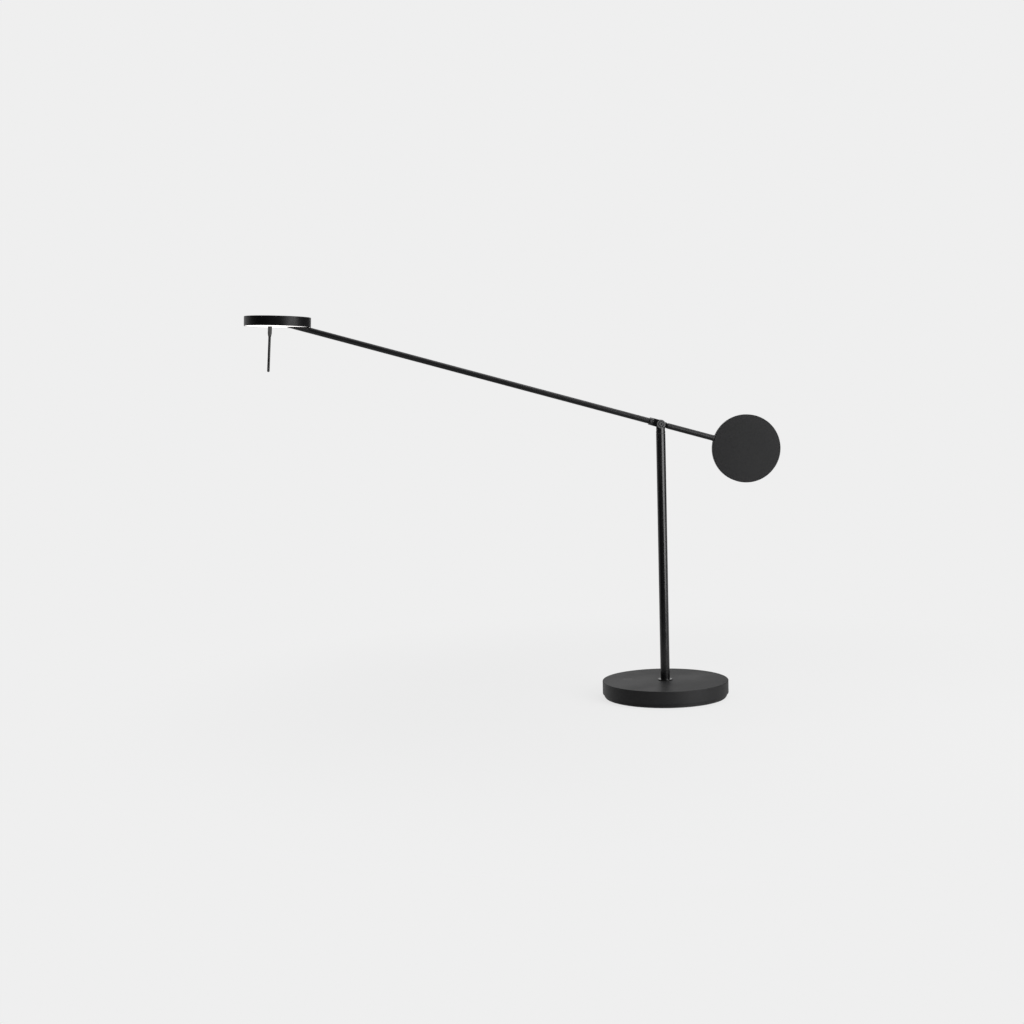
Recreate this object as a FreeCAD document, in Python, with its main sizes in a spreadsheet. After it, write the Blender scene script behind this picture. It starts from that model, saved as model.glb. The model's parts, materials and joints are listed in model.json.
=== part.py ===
import FreeCAD, Part
import math
import os
import re
import Sketcher

# Counterweight balance desk lamp, in millimetres and degrees.
# The origin is the centre of the foot pad's underside, +Z is up, the head points towards -X and the
# cord inlet faces +Y. Pieces on the arm are drawn along their own +Z, which runs from the pivot to
# the head, with their own +X square to the arm and upwards. Pieces of the head are drawn about the
# hinge in the head's centre, with the light shining down.

SIZES = {
    # base, from the table upwards
    "pad_inset": 1.2,            # soft foot pad, in from the plate's edge
    "pad_thick": 1.5,
    "plate_step": 2.5,           # lower tier, in from the cover's edge
    "plate_thick": 4.5,
    "plate_lip": 1.5,            # raised disc that centres the cover
    "lip_play": 0.2,
    "base_dia": 190.0,           # upper tier
    "cover_high": 19.0,
    "cover_wall": 3.0,
    "cover_top": 2.5,
    "cover_edge": 0.8,           # bevel of the upper edge
    "ballast_play": 3.0,         # between the ballast and the cover's wall
    "ballast_thick": 12.0,
    "bay_width": 42.0,           # bay in the ballast for the driver
    "bay_start": 9.0,            # from the pole's axis
    "screw_inset": 25.0,         # the four base screws, in from the cover's edge
    "screw_turn": 45.0,
    "screw_count": 4,
    "screw_dia": 4.0,
    "screw_head": 8.0,
    "screw_sink": 2.2,
    "screw_long": 12.0,
    "boss_dia": 9.0,
    "boss_depth": 9.0,           # depth of the screw hole in a boss
    "boss_play": 0.5,
    "hub_dia": 24.0,             # boss of the cover around the stud
    # touch switch
    "touch_inset": 39.0,         # in from the cover's edge, on the head's side
    "touch_y": 12.0,
    "touch_dia": 19.0,
    "touch_thick": 0.8,
    "touch_play": 0.1,
    "sensor_dia": 25.0,
    "sensor_thick": 1.2,
    # driver
    "board_wide": 32.0,
    "board_long": 54.0,
    "board_thick": 1.6,
    "board_inset": 19.0,         # from the board's end to the cover's edge
    "standoff_dia": 5.0,
    "standoff_high": 1.5,
    "standoff_inset": 4.0,
    "coil_dia": 11.0,
    "coil_high": 6.0,
    "choke_wide": 12.0,
    "choke_high": 5.0,
    "terminal_wide": 9.0,
    "terminal_high": 5.5,
    # cord inlet
    "inlet_height": 14.0,
    "inlet_bore": 5.0,
    "grommet_neck": 8.0,
    "grommet_rim": 11.0,
    "grommet_lip": 1.5,
    "grommet_play": 0.3,
    "inlet_face": 0.4,           # flat spot on the cover's side
    # pole
    "pole_dia": 14.0,
    "pole_bore": 10.0,
    "collar_dia": 21.6,
    "collar_high": 1.4,
    "collar_edge": 0.3,
    "stud_bore": 4.6,
    "stud_play": 0.2,
    "stud_engage": 20.0,         # length of stud inside the pole
    "stud_proud": 0.5,           # stud past its nut
    "nut_recess": 10.0,
    "nut_recess_dia": 23.0,
    "nut_flats": 17.0,
    "nut_high": 5.0,
    "washer_dia": 21.0,
    "washer_thick": 1.5,
    # swivel on top of the pole
    "pivot_height": 412.5,
    "fork_stem": 14.0,           # from the swivel seam up to the pivot
    "swivel_gap": 0.1,
    "spigot_dia": 7.9,
    "spigot_past": 2.5,          # spigot below the bush
    "running": 0.05,             # radial clearance of turning fits
    "bush_long": 24.0,
    "bush_rim": 0.5,
    "bush_rim_dia": 13.2,
    "bush_screw_drop": 8.8,      # grub screw below the swivel seam
    "bush_screw_turn": 221.0,
    "grub_dia": 3.0,
    "grub_key": 1.5,
    "grub_sink": 0.4,
    "clip_thick": 0.8,
    "clip_dia": 9.3,
    "clip_bore": 6.4,
    "clip_gap": 2.4,
    "lead_dia": 2.6,
    "lead_hole": 3.4,
    "lead_lift": 0.1,
    # fork and pivot
    "drum_dia": 13.0,
    "drum_half": 8.4,            # from the arm's plane to a drum's face
    "drum_edge": 0.7,
    "stem_drop": 4.0,            # round stem ends below the pivot
    "slot_wide": 6.6,
    "slot_depth": 11.0,          # below the pivot
    "barrel_dia": 5.0,
    "barrel_bore": 3.0,
    "pivot_screw_past": 2.9,     # screw past the arm's plane
    "cap_dia": 7.6,
    "cap_thick": 2.4,
    "cap_sink": 0.2,
    "cap_play": 0.3,
    "cap_edge": 0.3,
    "key_flats": 2.5,
    "key_depth": 1.5,
    "friction_thick": 0.4,
    "friction_dia": 11.6,
    # arm
    "arm_rise": 16.37,
    "arm_dia": 8.6,
    "arm_wall": 1.0,
    "arm_reach": 589.6,
    "tongue_thick": 5.6,
    "knuckle_dia": 11.4,
    "tongue_long": 11.5,
    "sleeve_end": 18.1,
    "sleeve_edge": 0.6,
    "grub_at": 14.8,
    "sleeve_seat": 0.5,          # arm tube stands off the bottom of its socket
    "tail_start": 8.6,
    "tail_nose_dia": 6.4,        # narrow enough to dip into the fork's slot
    "tail_taper": 2.3,
    "tail_pin": 4.0,
    "tail_pin_long": 3.0,
    "tail_reach": 134.2,
    "thread_dia": 6.0,
    "thread_long": 26.0,
    "jam_dia": 9.4,
    "jam_thick": 2.0,
    "jam_seat": 0.5,
    "weight_dia": 102.0,
    "weight_thick": 12.0,
    "weight_drop": 2.3,          # disc's centre below the arm's axis
    "weight_edge": 0.8,
    "thread_play": 1.0,          # empty depth past the thread
    "tip_long": 26.0,            # turning end piece, up to the hinge
    "tip_gap": 0.1,
    "tip_spigot": 18.0,
    "tip_groove": 0.9,
    "tip_groove_at": 9.0,
    "tip_groove_wide": 3.0,
    "tip_bore": 2.8,
    "exit_bore": 3.0,
    "tip_eye": 12.0,             # solid length before the hinge
    "eye_dia": 8.2,
    "eye_thick": 6.0,
    "eye_long": 11.0,            # flats of the eye, up to the hinge
    "roll_screw_dia": 2.5,
    "roll_screw_play": 0.15,
    # head
    "head_dia": 98.5,
    "head_thick": 14.3,
    "head_tilt": 2.6,
    "head_top": 2.0,
    "head_rim": 1.4,
    "head_ledge": 1.15,
    "head_edge": 0.6,
    "lens_thick": 1.5,
    "lens_recess": 0.3,
    "lens_play": 0.1,
    "slot_half": 5.0,            # half of the arm's slot
    "slot_inner": 5.4,           # slot's closed end, from the hinge
    "slot_end": 0.25,            # between the trough's far end and the rim's wall
    "well_wall": 1.0,
    "well_top": 2.3,             # above the head's middle plane
    "block_back": 8.0,
    "block_front": 9.0,
    "block_half": 9.0,
    "eye_play": 0.15,
    "block_web": 3.0,
    "block_drop": 4.5,
    "block_play": 0.25,
    "hinge_dia": 3.0,
    "block_screw_x": 5.9,
    "block_screw_y": 6.2,
    "block_screw_dia": 2.5,
    "block_screw_bite": 1.2,
    "led_disc_play": 0.4,        # between the disc and the ledge
    "led_disc_hole": 27.6,
    "led_disc_thick": 1.6,
    "led_count": 24,
    "led_inset": 12.8,           # ring of chips, in from the disc's edge
    "led_wide": 3.0,
    "led_thick": 0.7,
    "disc_screw_inset": 4.8,     # in from the disc's edge
    "disc_screw_count": 3,
    "disc_screw_dia": 2.0,
    "disc_screw_head": 3.8,
    "disc_screw_high": 1.2,
    "disc_screw_bite": 1.3,
    "lever_offset": 11.0,
    "lever_lean": 1.7,
    "lever_reach": 67.5,         # below the light's face
    "lever_dia": 3.8,
    "lever_play": 0.1,
    "boot_dia": 6.1,
    "boot_end_dia": 4.4,
    "boot_long": 10.5,
    "boot_taper": 4.5,
    "boot_inside": 2.2,
    "boot_hole": 6.8,
}

# Levels and places that several pieces share, as expressions of the sizes.
PLATE_TOP = "(pad_thick + plate_thick)"
FLOOR = "(pad_thick + plate_thick + plate_lip)"
BASE_TOP = "(pad_thick + plate_thick + cover_high)"
COVER_UNDER = f"({BASE_TOP} - cover_top)"
BALLAST_TOP = f"({FLOOR} + ballast_thick)"
NUT_TOP = f"({FLOOR} + nut_recess - washer_thick)"
STUD_END = f"({NUT_TOP} - nut_high - stud_proud)"
SEAM = "(pivot_height - fork_stem)"
POLE_TOP = f"({SEAM} - swivel_gap - bush_rim)"
BUSH_END = f"({POLE_TOP} - bush_long)"
SPIGOT_END = f"({BUSH_END} - spigot_past)"
CLIP_TOP = f"({BUSH_END} - swivel_gap)"
CAP_FACE = "(drum_half - cap_sink)"
CAP_SEAT = "(drum_half - cap_sink - cap_thick)"
TUBE_START = "(tongue_long + sleeve_seat)"
TUBE_END = "(arm_reach - tip_long)"
GROOVE_AT = f"({TUBE_END} - tip_groove_at)"
WEIGHT_SEAT = "(tail_reach - weight_dia / 2 + jam_seat)"
HEAD_X = "(0 - arm_reach * cos(arm_rise))"
HEAD_Z = "(pivot_height + arm_reach * sin(arm_rise))"
HEAD_BOTTOM = "(0 - head_thick / 2)"
HEAD_UNDER = "(head_thick / 2 - head_top)"
LENS_FACE = "(lens_recess - head_thick / 2)"
LENS_BACK = f"({LENS_FACE} + lens_thick)"
LED_BACK = f"({HEAD_UNDER} - led_disc_thick)"
DISC_SCREW_X = "(disc_screw_inset + head_rim + head_ledge + led_disc_play - head_dia / 2)"
LED_DISC = "(head_dia - 2 * head_rim - 2 * head_ledge - 2 * led_disc_play)"
SLOT_OUTER = "(head_dia / 2 - head_rim - slot_end - well_wall)"
PLATE_DIA = "(base_dia - 2 * plate_step)"
TOUCH_X = "(touch_inset - base_dia / 2)"
BOARD_START = "(base_dia / 2 - board_inset - board_long)"
SCREW_X = "((base_dia / 2 - screw_inset) * cos(screw_turn))"
SCREW_Y = "((base_dia / 2 - screw_inset) * sin(screw_turn))"

TURNS = {
    "X": FreeCAD.Rotation(FreeCAD.Vector(0, 0, 1), FreeCAD.Vector(1, 0, 0)),
    "Y": FreeCAD.Rotation(FreeCAD.Vector(0, 0, 1), FreeCAD.Vector(0, 1, 0)),
    "Z": FreeCAD.Rotation(),
}

document = FreeCAD.newDocument("desk_lamp")
sub_parts = []


def make_sheet():
    """Keep the driving sizes in a spreadsheet, one row each."""
    sheet = document.addObject("Spreadsheet::Sheet", "Sizes")
    for row, (alias, value) in enumerate(SIZES.items(), start=1):
        sheet.set(f"A{row}", alias)
        sheet.set(f"B{row}", str(value))
        sheet.setAlias(f"B{row}", alias)
    document.recompute()


def cells(text):
    """Put the sheet's name before each size that an expression names."""
    return re.sub(r"[a-z_]+", lambda found: prefixed(found.group()), str(text))


def prefixed(word):
    return "Sizes." + word if word in SIZES else word


def bind(thing, field, text):
    thing.setExpression(field, cells(text))


def new_body(label, several=False):
    """Start a sub-part; several lets a group of like fasteners be one sub-part."""
    body = document.addObject("PartDesign::Body", label)
    body.Label = label
    if several:
        body.AllowCompound = True
    sub_parts.append(body)
    return body


def add(body, kind, name, at=("0", "0", "0"), along="Z", **sizes):
    """Add or cut a primitive whose place and sizes are bound to the sheet."""
    made = body.newObject("PartDesign::" + kind, name)
    made.Placement = FreeCAD.Placement(FreeCAD.Vector(), TURNS[along])
    for axis, text in zip("xyz", at):
        bind(made, "Placement.Base." + axis, text)
    for field, text in sizes.items():
        bind(made, field, text)
    return made


def outline(body, name, role, corners):
    """Draw a closed outline on one of the body's own planes, each corner bound to the sheet."""
    sketch = body.newObject("Sketcher::SketchObject", name)
    plane = next(datum for datum in body.Origin.OriginFeatures if datum.Role == role)
    sketch.AttachmentSupport = [(plane, "")]
    sketch.MapMode = "FlatFace"
    count = len(corners)
    start = [FreeCAD.Vector(math.cos(turn), math.sin(turn), 0)
             for turn in (2 * math.pi * step / count for step in range(count))]
    for step in range(count):
        sketch.addGeometry(Part.LineSegment(start[step], start[(step + 1) % count]), False)
    for step in range(count):
        sketch.addConstraint(Sketcher.Constraint("Coincident", step, 2, (step + 1) % count, 1))
    for step, corner in enumerate(corners):
        for kind, text in zip(("DistanceX", "DistanceY"), corner):
            number = sketch.addConstraint(Sketcher.Constraint(kind, -1, 1, step, 1, 1.0))
            sketch.renameConstraint(number, f"{kind}_{step}")
            bind(sketch, f"Constraints.{kind}_{step}", text)
    return sketch


def turned(body, name, corners):
    """Turn an outline of (radius, height) corners about the body's own Z axis."""
    sketch = outline(body, name + "_outline", "XZ_Plane", corners)
    made = body.newObject("PartDesign::Revolution", name)
    made.Profile = sketch
    made.ReferenceAxis = (sketch, ["V_Axis"])
    made.Angle = 360
    sketch.Visibility = False
    return made


def ring(body, name, bore, outside, low, high):
    """Turn a plain ring, or a disc where the bore is nothing."""
    return turned(body, name, [(f"{bore} / 2", low), (f"{outside} / 2", low),
                               (f"{outside} / 2", high), (f"{bore} / 2", high)])


def cell(alias):
    """Read one size from the sheet."""
    return float(getattr(document.Sizes, alias))


def near(first, second):
    return abs(first - second) < 1e-4


def finish_edges(body, kind, name, amount, chosen):
    """Round or chamfer the circular edges that the test given picks by radius and centre."""
    document.recompute()
    base = body.Tip
    picked = [f"Edge{number}" for number, edge in enumerate(base.Shape.Edges, start=1)
              if isinstance(edge.Curve, Part.Circle) and chosen(edge.Curve.Radius, edge.Curve.Center)]
    if not picked:
        raise RuntimeError(f"{body.Label}: no edge found for {name}")
    made = body.newObject("PartDesign::" + kind, name)
    made.Base = (base, picked)
    bind(made, "Radius" if kind == "Fillet" else "Size", amount)
    return made


def repeat_around(body, name, features, count):
    """Repeat features around the body's own Z axis."""
    axis = next(datum for datum in body.Origin.OriginFeatures if datum.Role == "Z_Axis")
    made = body.newObject("PartDesign::PolarPattern", name)
    made.Originals = features
    made.Axis = (axis, [""])
    made.Angle = 360
    bind(made, "Occurrences", count)
    body.Tip = made
    return made


def turn_about_z(body, angle):
    body.Placement = FreeCAD.Placement(FreeCAD.Vector(), FreeCAD.Rotation(FreeCAD.Vector(0, 0, 1), 1))
    bind(body, "Placement.Rotation.Angle", angle)


def on_arm(body):
    """Lay a piece on the arm: its own +Z runs from the pivot to the head."""
    body.Placement = FreeCAD.Placement(FreeCAD.Vector(), FreeCAD.Rotation(FreeCAD.Vector(0, 1, 0), 1))
    bind(body, "Placement.Base.z", "pivot_height")
    bind(body, "Placement.Rotation.Angle", "arm_rise - 90")


def on_head(body, ahead="0", above="0", lean="0"):
    """Set a piece in the head, ahead of and above the hinge, leaning past the head's own tilt."""
    body.Placement = FreeCAD.Placement(FreeCAD.Vector(), FreeCAD.Rotation(FreeCAD.Vector(0, 1, 0), 1))
    bind(body, "Placement.Base.x", f"{HEAD_X} + ({ahead}) * cos(head_tilt) + ({above}) * sin(head_tilt)")
    bind(body, "Placement.Base.z", f"{HEAD_Z} - ({ahead}) * sin(head_tilt) + ({above}) * cos(head_tilt)")
    bind(body, "Placement.Rotation.Angle", f"head_tilt + {lean}")


def make_foot_pad():
    ring(new_body("foot_pad"), "pad", "0", f"({PLATE_DIA} - 2 * pad_inset)", "0", "pad_thick")


def make_base_plate():
    """Lower tier: a steel plate whose raised lip centres the cover."""
    body = new_body("base_plate")
    lip = "base_dia / 2 - cover_wall - lip_play"
    edge = f"{PLATE_DIA} / 2"
    turned(body, "plate", [("0", "pad_thick"), (edge, "pad_thick"), (edge, PLATE_TOP),
                           (lip, PLATE_TOP), (lip, FLOOR), ("0", FLOOR)])
    hole = add(body, "SubtractiveCylinder", "screw_hole", (SCREW_X, SCREW_Y, "pad_thick"),
               Radius="screw_dia / 2", Height="plate_thick + plate_lip")
    sink = add(body, "SubtractiveCone", "screw_sink", (SCREW_X, SCREW_Y, "pad_thick"),
               Radius1="screw_head / 2", Radius2="screw_dia / 2", Height="screw_sink")
    repeat_around(body, "screw_holes", [hole, sink], "screw_count")


def make_base_screws():
    """Four countersunk screws, from below through the plate into the cover's bosses."""
    body = new_body("base_screws", several=True)
    at = (SCREW_X, SCREW_Y, "pad_thick")
    shank = add(body, "AdditiveCylinder", "shank", at, Radius="screw_dia / 2", Height="screw_long")
    head = add(body, "AdditiveCone", "head", at, Radius1="screw_head / 2", Radius2="screw_dia / 2",
               Height="screw_sink")
    key = add(body, "SubtractivePrism", "key", at, Circumradius="key_flats / sqrt(3)", Height="key_depth")
    repeat_around(body, "all_screws", [shank, head, key], "screw_count")


def make_base_cover():
    """Upper tier: a cup with four bosses, the cord inlet's hole and the switch's recess."""
    body = new_body("base_cover")
    bore = "pole_bore / 2 + stud_play"
    inner = "base_dia / 2 - cover_wall"
    turned(body, "shell", [(bore, BALLAST_TOP), ("hub_dia / 2", BALLAST_TOP), ("hub_dia / 2", COVER_UNDER),
                           (inner, COVER_UNDER), (inner, PLATE_TOP), ("base_dia / 2", PLATE_TOP),
                           ("base_dia / 2", BASE_TOP), (bore, BASE_TOP)])
    finish_edges(body, "Chamfer", "upper_edge", "cover_edge",
                 lambda radius, centre: near(radius, cell("base_dia") / 2) and centre.z > cell("cover_high"))
    boss = add(body, "AdditiveCylinder", "boss", (SCREW_X, SCREW_Y, FLOOR),
               Radius="boss_dia / 2", Height=f"{COVER_UNDER} - {FLOOR}")
    hole = add(body, "SubtractiveCylinder", "boss_hole", (SCREW_X, SCREW_Y, FLOOR),
               Radius="screw_dia / 2", Height="boss_depth")
    repeat_around(body, "bosses", [boss, hole], "screw_count")
    add(body, "SubtractiveCylinder", "inlet_spot", ("0", "base_dia / 2 - inlet_face", "inlet_height"), "Y",
        Radius="grommet_rim / 2 + touch_play", Height="cover_wall")
    add(body, "SubtractiveCylinder", "inlet_hole",
        ("0", "base_dia / 2 - 2 * cover_wall", "inlet_height"), "Y",
        Radius="grommet_neck / 2", Height="3 * cover_wall")
    add(body, "SubtractiveCylinder", "switch_recess", (TOUCH_X, "touch_y", f"{BASE_TOP} - touch_thick"),
        Radius="touch_dia / 2", Height="2 * touch_thick")


def make_ballast():
    """Cast disc that clears the bosses, with a bay for the driver and a recess for the stud's nut."""
    body = new_body("ballast")
    ring(body, "disc", "(pole_bore + 2 * stud_play)", "(base_dia - 2 * cover_wall - 2 * ballast_play)",
         FLOOR, BALLAST_TOP)
    hole = add(body, "SubtractiveCylinder", "boss_room", (SCREW_X, SCREW_Y, FLOOR),
               Radius="boss_dia / 2 + boss_play", Height="ballast_thick")
    repeat_around(body, "boss_rooms", [hole], "screw_count")
    add(body, "SubtractiveCylinder", "nut_room", ("0", "0", FLOOR),
        Radius="nut_recess_dia / 2", Height="nut_recess")
    add(body, "SubtractiveBox", "bay", ("0 - bay_width / 2", "bay_start", FLOOR),
        Length="bay_width", Width="base_dia / 2", Height="ballast_thick")


def make_driver():
    """Circuit board with a coil, a choke and the cord's terminal, on four standoffs."""
    board = new_body("driver_board")
    low = f"{FLOOR} + standoff_high"
    high = f"{low} + board_thick"
    add(board, "AdditiveBox", "board", ("0 - board_wide / 2", BOARD_START, low),
        Length="board_wide", Width="board_long", Height="board_thick")
    add(board, "AdditiveCylinder", "coil", ("0 - board_wide / 4", f"{BOARD_START} + board_long / 4", high),
        Radius="coil_dia / 2", Height="coil_high")
    add(board, "AdditiveBox", "choke",
        ("board_wide / 4 - choke_wide / 2", f"{BOARD_START} + board_long / 6", high),
        Length="choke_wide", Width="choke_wide", Height="choke_high")
    add(board, "AdditiveBox", "terminal",
        ("0 - terminal_wide / 2", f"{BOARD_START} + board_long - terminal_wide", high),
        Length="terminal_wide", Width="terminal_wide", Height="terminal_high")
    standoffs = new_body("board_standoffs", several=True)
    for side in (1, -1):
        for row in ("standoff_inset", "(board_long - standoff_inset)"):
            add(standoffs, "AdditiveCylinder", "standoff",
                (f"{side} * (board_wide / 2 - standoff_inset)", f"{BOARD_START} + {row}", FLOOR),
                Radius="standoff_dia / 2", Height="standoff_high")


def make_touch_switch():
    """Flush disc in the cover and the sensor board under it."""
    disc = new_body("touch_disc")
    add(disc, "AdditiveCylinder", "disc", (TOUCH_X, "touch_y", f"{BASE_TOP} - touch_thick"),
        Radius="touch_dia / 2 - touch_play", Height="touch_thick")
    sensor = new_body("touch_sensor")
    add(sensor, "AdditiveCylinder", "board", (TOUCH_X, "touch_y", f"{COVER_UNDER} - sensor_thick"),
        Radius="sensor_dia / 2", Height="sensor_thick")


def make_cord_grommet():
    """Rubber bush that grips the cover's wall; its bore is the cord inlet."""
    body = new_body("cord_grommet")
    outer = "(base_dia / 2 - inlet_face)"
    inner = "(base_dia / 2 - cover_wall - grommet_play)"
    whole = f"{outer} - {inner} + 2 * grommet_lip"
    start = f"{inner} - grommet_lip"
    add(body, "AdditiveCylinder", "neck", ("0", start, "inlet_height"), "Y",
        Radius="grommet_neck / 2", Height=whole)
    for name, where in (("inner_lip", start), ("outer_lip", outer)):
        add(body, "AdditiveCylinder", name, ("0", where, "inlet_height"), "Y",
            Radius="grommet_rim / 2", Height="grommet_lip")
    add(body, "SubtractiveCylinder", "bore", ("0", start, "inlet_height"), "Y",
        Radius="inlet_bore / 2", Height=whole)


def make_pole_fixings():
    """Hollow stud, washer and nut that clamp the pole, the cover and the ballast together."""
    ring(new_body("pole_stud"), "stud", "stud_bore", "pole_bore", STUD_END, f"{BASE_TOP} + stud_engage")
    ring(new_body("stud_washer"), "washer", "pole_bore", "washer_dia", NUT_TOP, f"{NUT_TOP} + washer_thick")
    nut = new_body("stud_nut")
    at = ("0", "0", f"{NUT_TOP} - nut_high")
    add(nut, "AdditivePrism", "hexagon", at, Circumradius="nut_flats / sqrt(3)", Height="nut_high")
    add(nut, "SubtractiveCylinder", "thread", at, Radius="pole_bore / 2", Height="nut_high")


def make_pole():
    """Tube of the pole, with the flat collar at its foot, and the bush and grub screw at its top."""
    collar = new_body("pole_collar")
    turned(collar, "collar", [("pole_dia / 2", BASE_TOP), ("collar_dia / 2", BASE_TOP),
                              ("collar_dia / 2", f"{BASE_TOP} + collar_high - collar_edge"),
                              ("collar_dia / 2 - collar_edge", f"{BASE_TOP} + collar_high"),
                              ("pole_dia / 2", f"{BASE_TOP} + collar_high")])
    pole = new_body("pole")
    ring(pole, "tube", "pole_bore", "pole_dia", BASE_TOP, POLE_TOP)
    screw_at = f"{SEAM} - bush_screw_drop"
    add(pole, "SubtractiveCylinder", "screw_hole", ("pole_bore / 4", "0", screw_at), "X",
        Radius="grub_dia / 2", Height="pole_dia")
    turn_about_z(pole, "bush_screw_turn")
    bush = new_body("pole_bush")
    turned(bush, "bush", [("spigot_dia / 2 + running", BUSH_END), ("pole_bore / 2", BUSH_END),
                          ("pole_bore / 2", POLE_TOP), ("bush_rim_dia / 2", POLE_TOP),
                          ("bush_rim_dia / 2", f"{POLE_TOP} + bush_rim"),
                          ("spigot_dia / 2 + running", f"{POLE_TOP} + bush_rim")])
    grub = new_body("bush_screw")
    depth = "(pole_dia / 2 - pole_bore / 2 - grub_sink)"
    add(grub, "AdditiveCylinder", "screw", ("pole_bore / 2", "0", screw_at), "X",
        Radius="grub_dia / 2", Height=depth)
    add(grub, "SubtractivePrism", "key", (f"pole_bore / 2 + {depth} / 2", "0", screw_at), "X",
        Circumradius="grub_key / sqrt(3)", Height="pole_dia")
    turn_about_z(grub, "bush_screw_turn")


def make_base_lead():
    """Lead from the driver to the pole's axis and up the pole."""
    body = new_body("base_lead")
    level = f"({FLOOR} + lead_lift + lead_dia / 2)"
    add(body, "AdditiveCylinder", "rise", ("0", "0", level),
        Radius="lead_dia / 2", Height=f"{SPIGOT_END} - lead_lift - {level}")
    add(body, "AdditiveSphere", "elbow", ("0", "0", level), Radius="lead_dia / 2")
    add(body, "AdditiveCylinder", "run", ("0", "0", level), "Y", Radius="lead_dia / 2", Height=BOARD_START)


def make_fork():
    """Fork that turns on the pole: spigot, stem and two drums with the arm's slot between them."""
    fork = new_body("swivel_fork")
    groove = f"{CLIP_TOP} - clip_thick"
    turned(fork, "stem", [("lead_hole / 2", SPIGOT_END), ("spigot_dia / 2", SPIGOT_END),
                          ("spigot_dia / 2", groove), ("clip_bore / 2", groove), ("clip_bore / 2", CLIP_TOP),
                          ("spigot_dia / 2", CLIP_TOP), ("spigot_dia / 2", SEAM), ("pole_dia / 2", SEAM),
                          ("pole_dia / 2", "pivot_height - stem_drop"),
                          ("lead_hole / 2", "pivot_height - stem_drop")])
    add(fork, "AdditiveCylinder", "drums", ("0", "0 - drum_half", "pivot_height"), "Y",
        Radius="drum_dia / 2", Height="2 * drum_half")
    finish_edges(fork, "Chamfer", "drum_edges", "drum_edge",
                 lambda radius, centre: near(radius, cell("drum_dia") / 2)
                 and abs(centre.y) > cell("slot_wide"))
    add(fork, "SubtractiveBox", "slot", ("0 - pole_dia", "0 - slot_wide / 2", "pivot_height - slot_depth"),
        Length="2 * pole_dia", Width="slot_wide", Height="slot_depth + drum_dia")
    add(fork, "SubtractiveCylinder", "barrel_hole", ("0", "0 - drum_half", "pivot_height"), "Y",
        Radius="barrel_dia / 2", Height="2 * drum_half")
    for name, start in (("front_sink", "0 - drum_half"), ("rear_sink", CAP_SEAT)):
        add(fork, "SubtractiveCylinder", name, ("0", start, "pivot_height"), "Y",
            Radius="cap_dia / 2 + cap_play", Height=f"drum_half - {CAP_SEAT}")
    clip = new_body("swivel_clip")
    ring(clip, "clip", "clip_bore", "clip_dia", groove, CLIP_TOP)
    add(clip, "SubtractiveBox", "gap", ("0", "0 - clip_gap / 2", groove),
        Length="clip_dia", Width="clip_gap", Height="clip_thick")
    lead = new_body("fork_lead")
    ring(lead, "lead", "0", "lead_dia", f"{SPIGOT_END} + lead_lift", "pivot_height - slot_depth")


def make_pivot():
    """Barrel, screw and friction washers on which the arm tilts."""
    barrel = new_body("pivot_barrel")
    add(barrel, "AdditiveCylinder", "shank", ("0", f"0 - {CAP_SEAT}", "pivot_height"), "Y",
        Radius="barrel_dia / 2", Height=f"2 * {CAP_SEAT}")
    add(barrel, "AdditiveCylinder", "cap", ("0", CAP_SEAT, "pivot_height"), "Y",
        Radius="cap_dia / 2", Height="cap_thick")
    add(barrel, "SubtractiveCylinder", "thread", ("0", f"0 - {CAP_SEAT}", "pivot_height"), "Y",
        Radius="barrel_bore / 2", Height=f"2 * {CAP_SEAT}")
    add(barrel, "SubtractivePrism", "key", ("0", f"{CAP_FACE} - key_depth", "pivot_height"), "Y",
        Circumradius="key_flats / sqrt(3)", Height="drum_half")
    screw = new_body("pivot_screw")
    add(screw, "AdditiveCylinder", "cap", ("0", f"0 - {CAP_FACE}", "pivot_height"), "Y",
        Radius="cap_dia / 2", Height="cap_thick")
    add(screw, "AdditiveCylinder", "shank", ("0", f"0 - {CAP_SEAT}", "pivot_height"), "Y",
        Radius="barrel_bore / 2", Height=f"{CAP_SEAT} + pivot_screw_past")
    add(screw, "SubtractivePrism", "key", ("0", "0 - drum_half", "pivot_height"), "Y",
        Circumradius="key_flats / sqrt(3)", Height="cap_sink + key_depth")
    for body, face in ((barrel, 1), (screw, -1)):
        finish_edges(body, "Chamfer", "cap_edge", "cap_edge",
                     lambda radius, centre: near(radius, cell("cap_dia") / 2)
                     and near(centre.y, face * (cell("drum_half") - cell("cap_sink"))))
    washers = new_body("friction_washers", several=True)
    for name, start in (("front", "0 - slot_wide / 2"), ("rear", "slot_wide / 2 - friction_thick")):
        add(washers, "AdditiveCylinder", name, ("0", start, "pivot_height"), "Y",
            Radius="friction_dia / 2", Height="friction_thick")
    add(washers, "SubtractiveCylinder", "bore", ("0", "0 - drum_half", "pivot_height"), "Y",
        Radius="barrel_dia / 2", Height="2 * drum_half")


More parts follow.
